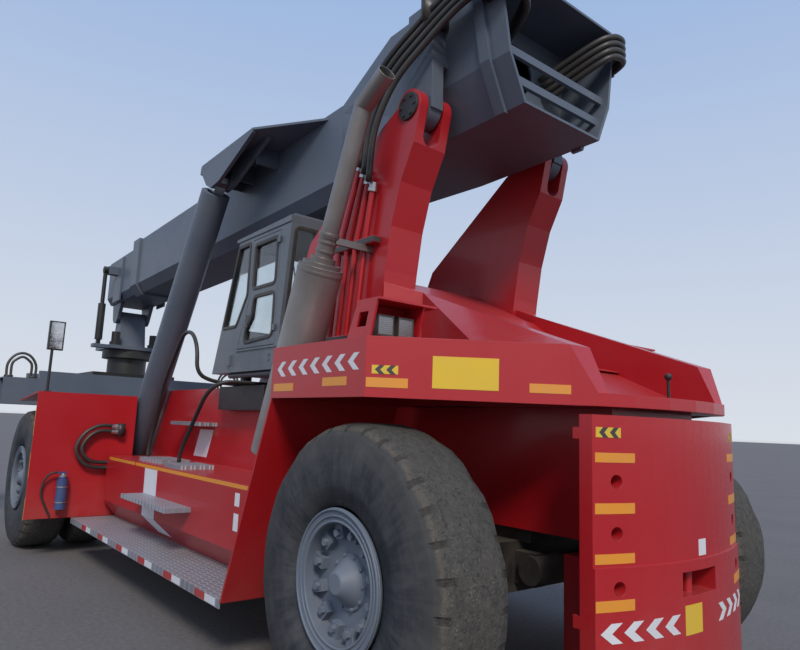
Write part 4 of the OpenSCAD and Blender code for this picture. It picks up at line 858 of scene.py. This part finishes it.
def seal(outline, face):
    """Rubber strip round a pane: the section is carried round the outline, along the mean of each
    point's two edge normals."""
    points = np.asarray(outline, float)
    following = np.roll(points, -1, axis=0)
    edge = following - points
    turn = np.sign(np.sum(points[:, 0] * following[:, 1] - following[:, 0] * points[:, 1]))
    normal = np.stack([edge[:, 1], -edge[:, 0]], 1) / np.linalg.norm(edge, axis=1)[:, None]
    mean = turn * (normal + np.roll(normal, 1, axis=0))
    mean /= np.linalg.norm(mean, axis=1)[:, None]
    place = points[:, None, :] + mean[:, None, :] * SEAL[None, :, :1]
    lift = np.broadcast_to(SEAL[None, :, 1], place.shape[:2])
    strip = face(place[..., 0], place[..., 1], lift)
    return outward(grid(strip, wrap_rows=True, wrap_columns=True))


WIDE_PANE = [(-0.69, 2.60), (0.69, 2.60), (0.69, 3.45), (-0.69, 3.45)]
# Panes: body, wall, outline, radius of its corners
PANES = [
    ("door", cab_left, [(2.542, 2.95), (3.0, 2.95), (3.0, 3.40), (2.542, 3.40)], 0.05),
    ("door", cab_left, [(2.542, 2.44), (3.11, 2.41), (3.11, 2.52), (2.985, 2.65), (2.96, 2.86),
                        (2.542, 2.86)], 0.06),
    ("chassis", cab_left, [(3.33, 2.60), (3.64, 2.60), (3.375, 3.44), (3.12, 3.44),
                           (3.12, 2.90)], 0.03),
    ("chassis", cab_right, [(2.48, 2.60), (3.64, 2.60), (3.375, 3.44), (2.42, 3.44)], 0.05),
    ("chassis", cab_front, WIDE_PANE, 0.04), ("chassis", cab_back, WIDE_PANE, 0.05)]


def seals():
    """Seals of every pane of the cab."""
    for body in ("door", "chassis"):
        shapes = [seal(rounded(outline, radius), face)
                  for owner, face, outline, radius in PANES if owner == body]
        piece(body + "_seals", joined(shapes), "rubber", body)


seals()

# Small trim

# Profiles of turned parts: radius, distance along the axis; the keeper plate's are against its
# own radius
COLLAR = [(0.024, 0.0), (0.031, 0.002), (0.031, 0.026), (0.026, 0.030), (0.026, 0.075),
          (0.022, 0.078)]
NUT = [(0.024, 0.0), (0.034, 0.003), (0.034, 0.030), (0.030, 0.034), (0.030, 0.070),
       (0.024, 0.072)]
BOTTLE_HEAD = [(0.045, 0.0), (0.047, 0.002), (0.047, 0.012), (0.024, 0.03), (0.022, 0.04)]
KEEPER = ((0.0, 0.0), (0.0, 0.012), (-0.006, 0.016))
# Ends of the fenders' hoses: X and Y, then Z of each and how much its collar rises
HOSE_END = (REAR_AXLE_X + 5.428, 1.206)
HOSE_ENDS = ((1.500, 0.05), (1.438, 0.05), (1.025, 0.03), (1.087, 0.03))
# Pipes on a post: two points of the first, the steps to the next, and where a nut starts
PIPES = 4
PIPE_LOW = np.array((REAR_AXLE_X + 1.240, 0.895, 2.960))
PIPE_TOP = np.array((REAR_AXLE_X + 1.010, 0.895, 3.620))
STEP_LOW = np.array((0.11, 0.0, 0.0))
STEP_TOP = np.array((0.06, 0.0, 0.07))
NUT_BELOW = 0.05


def collars():
    """Steel collars at the ends of the fenders' hoses and at the tops of the posts' pipes."""
    shapes = [turned((*HOSE_END, z), (-0.03, 1.0, rise), COLLAR, 10) for z, rise in HOSE_ENDS]
    for i in range(PIPES):
        top = PIPE_TOP - STEP_TOP * i
        axis = square_to(top - (PIPE_LOW - STEP_LOW * i))[0]
        shapes.append(turned(top - NUT_BELOW * axis, axis, NUT, 8))
    piece("hose_collars", joined(shapes, mirror=True), "bright_steel", "chassis")


BAND_OUT = 0.004
BAND_SUNK = 0.01
BAND_EDGE = 0.001


def band(centre, axis, r, width, sides=24):
    """Ring that stands a little proud of a round part, with its edges taken off."""
    out, sunk = r + BAND_OUT, r - BAND_SUNK
    profile = [(sunk, 0.0), (out, BAND_EDGE), (out, width), (sunk, width + BAND_EDGE)]
    return turned(centre, axis, profile, sides)


# The exhaust's clamps: distance from its foot up its axis, radius, width
EXHAUST_FOOT = np.array((REAR_AXLE_X + 1.27, 1.200, 2.08))
EXHAUST_AXIS = (-0.3714, 0.0, 0.9285)
EXHAUST_CLAMPS = ((0.835, 0.068, 0.018), (0.90, 0.068, 0.018), (0.955, 0.072, 0.02),
                  (0.02, 0.165, 0.022), (0.68, 0.165, 0.022))
# The extinguisher: its axis, Z of its straps and of its head, its radius and a strap's width
BOTTLE_AT = (REAR_AXLE_X + 5.41, 1.760)
BOTTLE_STRAPS = (0.63, 0.80)
BOTTLE_TOP = 0.917
BOTTLE_R = 0.06
STRAP_WIDTH = 0.014
# Clamps of the posts' pipes: Z, X from the rear axle, length; and the rubber block in a clamp
PIPE_CLAMPS = ((2.960, 0.760, 0.500), (2.250, 0.880, 0.470))
RUBBER_Y = (0.853, 0.924)
RUBBER_OVER = 0.003
RUBBER_Z = (0.006, 0.044)


def bands():
    """Clamps on the exhaust, straps on the extinguisher and rubber blocks on the pipes' clamps."""
    shapes = [band(EXHAUST_FOOT + along * np.array(EXHAUST_AXIS), EXHAUST_AXIS, r, width, 32)
              for along, r, width in EXHAUST_CLAMPS]
    piece("exhaust_clamps", joined(shapes), "exhaust_alloy", "chassis")
    up = (0, 0, 1)
    shapes = [band((*BOTTLE_AT, z), up, BOTTLE_R, STRAP_WIDTH) for z in BOTTLE_STRAPS]
    shapes.append(turned((*BOTTLE_AT, BOTTLE_TOP), up, BOTTLE_HEAD, 20))
    piece("bottle_bands", joined(shapes), "bright_steel", "chassis")
    shapes = [block(REAR_AXLE_X + x - RUBBER_OVER, REAR_AXLE_X + x + length + RUBBER_OVER,
                    *RUBBER_Y, z + RUBBER_Z[0], z + RUBBER_Z[1]) for z, x, length in PIPE_CLAMPS]
    piece("pipe_clamps", joined(shapes, mirror=True), "rubber", "chassis")


# Outer face of a rim's flange and of its hub's cap, from the middle of the outer tyre
FLANGE_OUT = 0.232
HUB_OUT = 0.142
# Rings on a rim: radius of the ring, radius of its section, how far it stands out of the flange
RIM_RINGS = ((0.371, 0.008, -0.001), (0.338, 0.006, -0.006), (0.310, 0.007, -0.010))
# Bolts: radius of their circle, or its share of a keeper plate's, how many, radius of a head
HUB_BOLTS = (0.135, 10, 0.011)
PIN_BOLTS = (0.72, 6, 0.014)
# Large pins: X from the rear axle, Y of the end, Z, radius of the keeper plate
LARGE_PINS = ((0.500, 0.849, 3.930, 0.105), (6.150, 0.9045, 1.000, 0.075))


def bolts():
    """Small bolts round each hub's cap, rings on the rims, and keeper plates with bolts on the ends
    of the large pins."""
    for body, _, x, places in WHEELS:
        side = np.sign(places[-1])
        cap = (x, places[-1] + side * HUB_OUT, TYRE_R)
        shapes = ring_of_bolts(cap, (0, side, 0), *HUB_BOLTS)
        piece(body + "_hub_bolts", joined(shapes), "rim_paint", body)
    for body, _, x, places in WHEELS:
        side = np.sign(places[-1])
        flange = places[-1] + side * FLANGE_OUT
        shapes = [torus((x, flange + side * out, TYRE_R), (0, 1, 0), ring, r)
                  for ring, r, out in RIM_RINGS]
        piece(body + "_rim_rings", joined(shapes), "rim_paint", body, smooth=True)
    plates, heads = [], []
    share, count, head_r = PIN_BOLTS
    for x, y, z, r in LARGE_PINS:
        centre, out = np.array((REAR_AXLE_X + x, y, z)), (0, 1, 0)
        plates.append(turned(centre, out, [(r + less, far) for less, far in KEEPER], 32))
        heads += ring_of_bolts(centre + (0, 0.014, 0), out, r * share, count, head_r)
    piece("pin_plates", joined(plates, mirror=True), "black_paint", "chassis")
    piece("pin_bolts", joined(heads, mirror=True), "black_paint", "chassis")


# The lamps' lower right rear corners, and the walls of a shell against that corner: both ends
# in X, Y and Z
LAMPS = ((REAR_AXLE_X + 0.016, 1.137, 2.156), (REAR_AXLE_X + 0.016, 1.287, 2.156))
SHELL = ((0.010, 0.097, 0.0, 0.116, 0.121, 0.126), (0.0, 0.097, 0.0, 0.005, 0.0, 0.126),
         (0.0, 0.097, 0.111, 0.116, 0.0, 0.126), (0.0, 0.012, 0.005, 0.111, 0.0, 0.010),
         (0.0, 0.012, 0.005, 0.111, 0.113, 0.123), (0.092, 0.097, 0.005, 0.111, 0.0, 0.121))


def lamp_shells():
    """Black shells round the work lamps, open to the rear, with a rim round each lens."""
    shapes = [block(x + x0, x + x1, y + y0, y + y1, z + z0, z + z1)
              for x, y, z in LAMPS for x0, x1, y0, y1, z0, z1 in SHELL]
    piece("lamp_shells", joined(shapes, mirror=True), "black_plastic", "chassis")


# The wiper on the windscreen, as Y, Z and height over the pane: the arm's points and the blade's
WIPER_ARM = ((0.10, 2.57, 0.01), (0.09, 2.62, 0.035), (-0.05, 3.10, 0.03))
WIPER_BLADE = ((-0.16, 2.82, 0.018), (-0.05, 3.10, 0.018), (0.06, 3.38, 0.018))
# Face of a mirror: rear and front end from the rear axle, then Y and Z
MIRROR_X = (5.5375, 5.5395)
MIRROR_YZ = (1.905, 2.040, 2.385, 2.695)


def cab_trim():
    """Wiper on the windscreen and the mirrors' glass."""
    arm, blade = ([cab_front(*place) for place in route] for route in (WIPER_ARM, WIPER_BLADE))
    pivot = turned(cab_front(*WIPER_ARM[0][:2], 0.0), (1, 0, 0.33), [(0.022, 0.0), (0.022, 0.02)],
                   12)
    piece("wiper", joined([swept(arm, 0.007), swept(blade, 0.008), pivot]), "black_plastic",
          "chassis")
    mirror = block(*(REAR_AXLE_X + x for x in MIRROR_X), *MIRROR_YZ)
    piece("mirror_faces", joined([mirror], mirror=True), "mirror_glass", "chassis")


collars()
bands()
bolts()
lamp_shells()
cab_trim()

# Rails and hoses: smooth tubes along the CAD's routes, in millimetres from the rear axle

TUBE_SIDES = 12
RAIL_R = 0.020
RAIL_BEND = 0.16
# Radii of the hoses, and the step from a hose to the one inside its loop, in millimetres
FENDER_HOSE_R = 0.022
BOTTLE_HOSE_R = 0.012
BOOM_HOSE_R = 0.024
SPREADER_HOSE_R = 0.020
FENDER_LOOP = 62
SPREADER_LOOP = 60
BOOM_PIVOT = (0.500, 0.0, 3.930)
BOOM_FALL = math.radians(1.4)


def from_rear(route):
    """Points in millimetres from the rear axle, moved into the frame."""
    return np.asarray(route, float) / 1000 + (REAR_AXLE_X, 0.0, 0.0)


def from_boom(route):
    """Points in millimetres along the parked boom and square to it, turned and moved into the
    frame."""
    x, y, z = (np.asarray(route, float) / 1000).T
    c, s = math.cos(BOOM_FALL), math.sin(BOOM_FALL)
    return (np.column_stack([x * c + z * s, y, z * c - x * s]) + BOOM_PIVOT
            + (REAR_AXLE_X, 0.0, 0.0))


def through(points):
    """Smooth curve through all points: cubics whose slope at a point is half the step between its
    neighbours, with six points each."""
    p = np.vstack([2 * points[0] - points[1], points, 2 * points[-1] - points[-2]])
    t = np.linspace(0.0, 1.0, 6, endpoint=False)[None, :, None]
    a, b, c, d = (p[k:len(p) - 3 + k, None, :] for k in range(4))
    slope, bend, twist = c - a, 2 * a - 5 * b + 4 * c - d, 3 * (b - c) + d - a
    curve = b + 0.5 * (slope * t + bend * t ** 2 + twist * t ** 3)
    return np.vstack([curve.reshape(-1, 3), points[-1:]])


def bent(points, radius):
    """Open path with its inner corners rounded."""
    before, corner, after = points[:-2, None, :], points[1:-1, None, :], points[2:, None, :]
    arcs = corner_curves(before, corner, after, radius, 0.48, 6)
    return np.vstack([points[:1], arcs.reshape(-1, 3), points[-1:]])


def hose(route, r, sides=TUBE_SIDES):
    """Smooth tube through points in millimetres from the rear axle."""
    return swept(through(from_rear(route)), r, sides, (1, 0, 0))


RAILS = [[(4590, 1100, 1160), (4590, 1100, 1300), (4300, 1100, 2000), (3870, 1100, 2490),
          (3740, 1100, 2540), (3560, 1100, 2500), (3420, 1100, 2340), (3390, 1100, 2080),
          (3390, 900, 2010), (3390, 540, 2000)],
         [(3650, 1100, 1160), (3650, 1100, 1290), (3100, 1100, 1900), (2990, 1000, 2000),
          (2960, 800, 2003), (2960, 540, 2000)]]


def rails():
    """Grab rails beside the steps."""
    shapes = [swept(bent(from_rear(route), RAIL_BEND), RAIL_R, TUBE_SIDES, (1.0, 0.6, 0.2))
              for route in RAILS]
    obj = piece("smooth_rails", joined(shapes, mirror=True), "black_paint", "chassis", smooth=True)
    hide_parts("handrails")


BOTTLE_HOSE = [(5410, 1820.3, 967), (5410, 1850, 967), (5415, 1890, 955), (5440, 1945, 870),
               (5460, 1955, 720), (5470, 1890, 570), (5477.7, 1850, 490), (5477.7, 1845, 470)]


def fender_loops():
    """Two hoses that loop on the rear of each fender, their valve blocks, and the extinguisher's
    hose."""
    shapes = [block(REAR_AXLE_X + 5.402, REAR_AXLE_X + 5.4897, 1.130, 1.210, z, z + 0.150)
              for z in (1.390, 0.990)]
    for d in (0, FENDER_LOOP):
        route = [(5428, 1205, 1500 - d), (5418, 1400, 1510 - d),
                 (5413, 1570 - 0.7 * d, 1420 - 0.7 * d), (5413, 1655 - d, 1240),
                 (5413, 1570 - 0.7 * d, 1080 + 0.7 * d), (5418, 1420, 1020 + d),
                 (5428, 1205, 1025 + d)]
        shapes.append(hose(route, FENDER_HOSE_R))
    both_sides = joined(shapes, mirror=True)
    shapes = [both_sides, hose(BOTTLE_HOSE, BOTTLE_HOSE_R, 8)]
    obj = piece("smooth_fender_hoses", joined(shapes), "rubber", "chassis", smooth=True)
    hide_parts("fender_hoses")


# Clamps of the boom's hoses in millimetres: X along the boom and length; depth; the boom's side
# that they stand on; low and high edge
BOOM_CLAMPS = ((-640, 150), (-200, 230))
CLAMP_DEPTH = 50
BOOM_SIDE = 650.3
CLAMP_Z = (600.0, 830.0)


def boom_hoses():
    """Four hoses on each side that climb from the post's pipes, arch over the boom's tail and run
    inside it, and the two clamps that hold them."""
    shapes = []
    for i in range(PIPES):
        route = [(510 - 60 * i, 950, -275 - 75 * i), (420 - 55 * i, 960, 60 - 60 * i),
                 (230 - 50 * i, 925, 380 - 62 * i), (-60 - 40 * i, 850, 610 - 62 * i),
                 (-400 - 15 * i, 790, 760 - 58 * i), (-690, 755, 790 - 56 * i),
                 (-795, 680, 785 - 56 * i), (-810, 520, 750 - 56 * i),
                 (-700, 400 + 10 * i, 680 - 56 * i), (-292, 260 + 30 * i, 500 - 45 * i)]
        shapes.append(swept(through(from_boom(route)), BOOM_HOSE_R, TUBE_SIDES, (1.0, 0.0, 0.6)))
    for x, length in BOOM_CLAMPS:
        end, far = x + CLAMP_DEPTH, BOOM_SIDE + length
        ring = np.array([(x, BOOM_SIDE), (end, BOOM_SIDE), (end, far), (x, far)])
        shapes.append(solid([from_boom(np.column_stack([ring, np.full(4, z)]))
                             for z in CLAMP_Z]))
    obj = piece("smooth_boom_hoses", joined(shapes, mirror=True), "rubber", "boom", smooth=True)
    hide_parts("boom_hoses")


def spreader_hoses():
    """Pairs of hoses that arch over the spreader's frame, with the strips that hold their feet."""
    shapes = [block(REAR_AXLE_X + 8.925, REAR_AXLE_X + 8.995, y, y + 0.120, 2.1703, 2.2003)
              for y in (1.530, 1.870)]
    for d in (0, SPREADER_LOOP):
        route = [(8960, 1560 + d, 2170.3), (8960, 1560 + d, 2370),
                 (8960, 1640 + 0.5 * d, 2510 - d), (8960, 1760, 2560 - d),
                 (8960, 1880 - 0.5 * d, 2510 - d), (8960, 1960 - d, 2370),
                 (8960, 1960 - d, 2170.3)]
        shapes.append(hose(route, SPREADER_HOSE_R))
    obj = piece("smooth_spreader_hoses", joined(shapes, mirror=True), "rubber", "spreader",
                smooth=True)
    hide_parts("spreader_hoses")


rails()
fender_loops()
boom_hoses()
spreader_hoses()

# Ground, sky and light

GROUND_HALF = 400.0
GROUND_BELOW = 0.001
SUN_STANDS = (-0.75, 0.45, 0.75)


def ground():
    """A wide yard of grey-brown gravel, which isn't part of the object."""
    corners = np.array([(-1, -1, 0), (1, -1, 0), (1, 1, 0), (-1, 1, 0)])
    points = corners * GROUND_HALF - (0, 0, GROUND_BELOW)
    material = bpy.data.materials.new("ground")
    material.use_nodes = True
    tree = material.node_tree
    where = own_place(tree)
    patches = mixed(tree, noise(tree, where, 0.7, 8.0), (0.085, 0.076, 0.074),
                    (0.15, 0.138, 0.135))
    gravel = ramp(tree, noise(tree, where, 24.0, 6.0, 0.7), 0.35, 0.68)
    tone = layered(tree, patches, ((gravel, 0.5, (0.22, 0.205, 0.195)),))
    give(tree, tree.nodes["Principled BSDF"], {"Base Color": tone, "Roughness": 0.9})
    obj = in_scene("ground", mesh_of("ground", (points, [(0, 1, 2, 3)]), material))


def sky():
    """Hazy daylight that pales towards the horizon, over dull ground."""
    world = bpy.data.worlds.new("sky")
    bpy.context.scene.world = world
    world.use_nodes = True
    tree = world.node_tree
    tree.nodes.clear()
    up = split(tree, add(tree, "TexCoord").outputs["Generated"])[2]
    tone = mixed(tree, ramp(tree, up, 0.0, 0.6), (0.70, 0.74, 0.80), (0.33, 0.47, 0.74))
    tone = mixed(tree, ramp(tree, up, -0.03, 0.0), (0.13, 0.12, 0.118), tone)
    light = add(tree, "Background", {"Color": tone, "Strength": 1.0}).outputs[0]
    add(tree, "OutputWorld", {"Surface": light})


def sun():
    """Low, soft evening sun behind haze."""
    data = bpy.data.lights.new("sun", "SUN")
    data.energy = 2.2
    data.angle = 0.25
    data.color = (1.0, 0.93, 0.84)
    obj = in_scene("sun", data)
    obj.rotation_euler = Vector(SUN_STANDS).to_track_quat("Z", "Y").to_euler()


ground()
sky()
sun()

bpy.context.scene.view_settings.view_transform = "Standard"
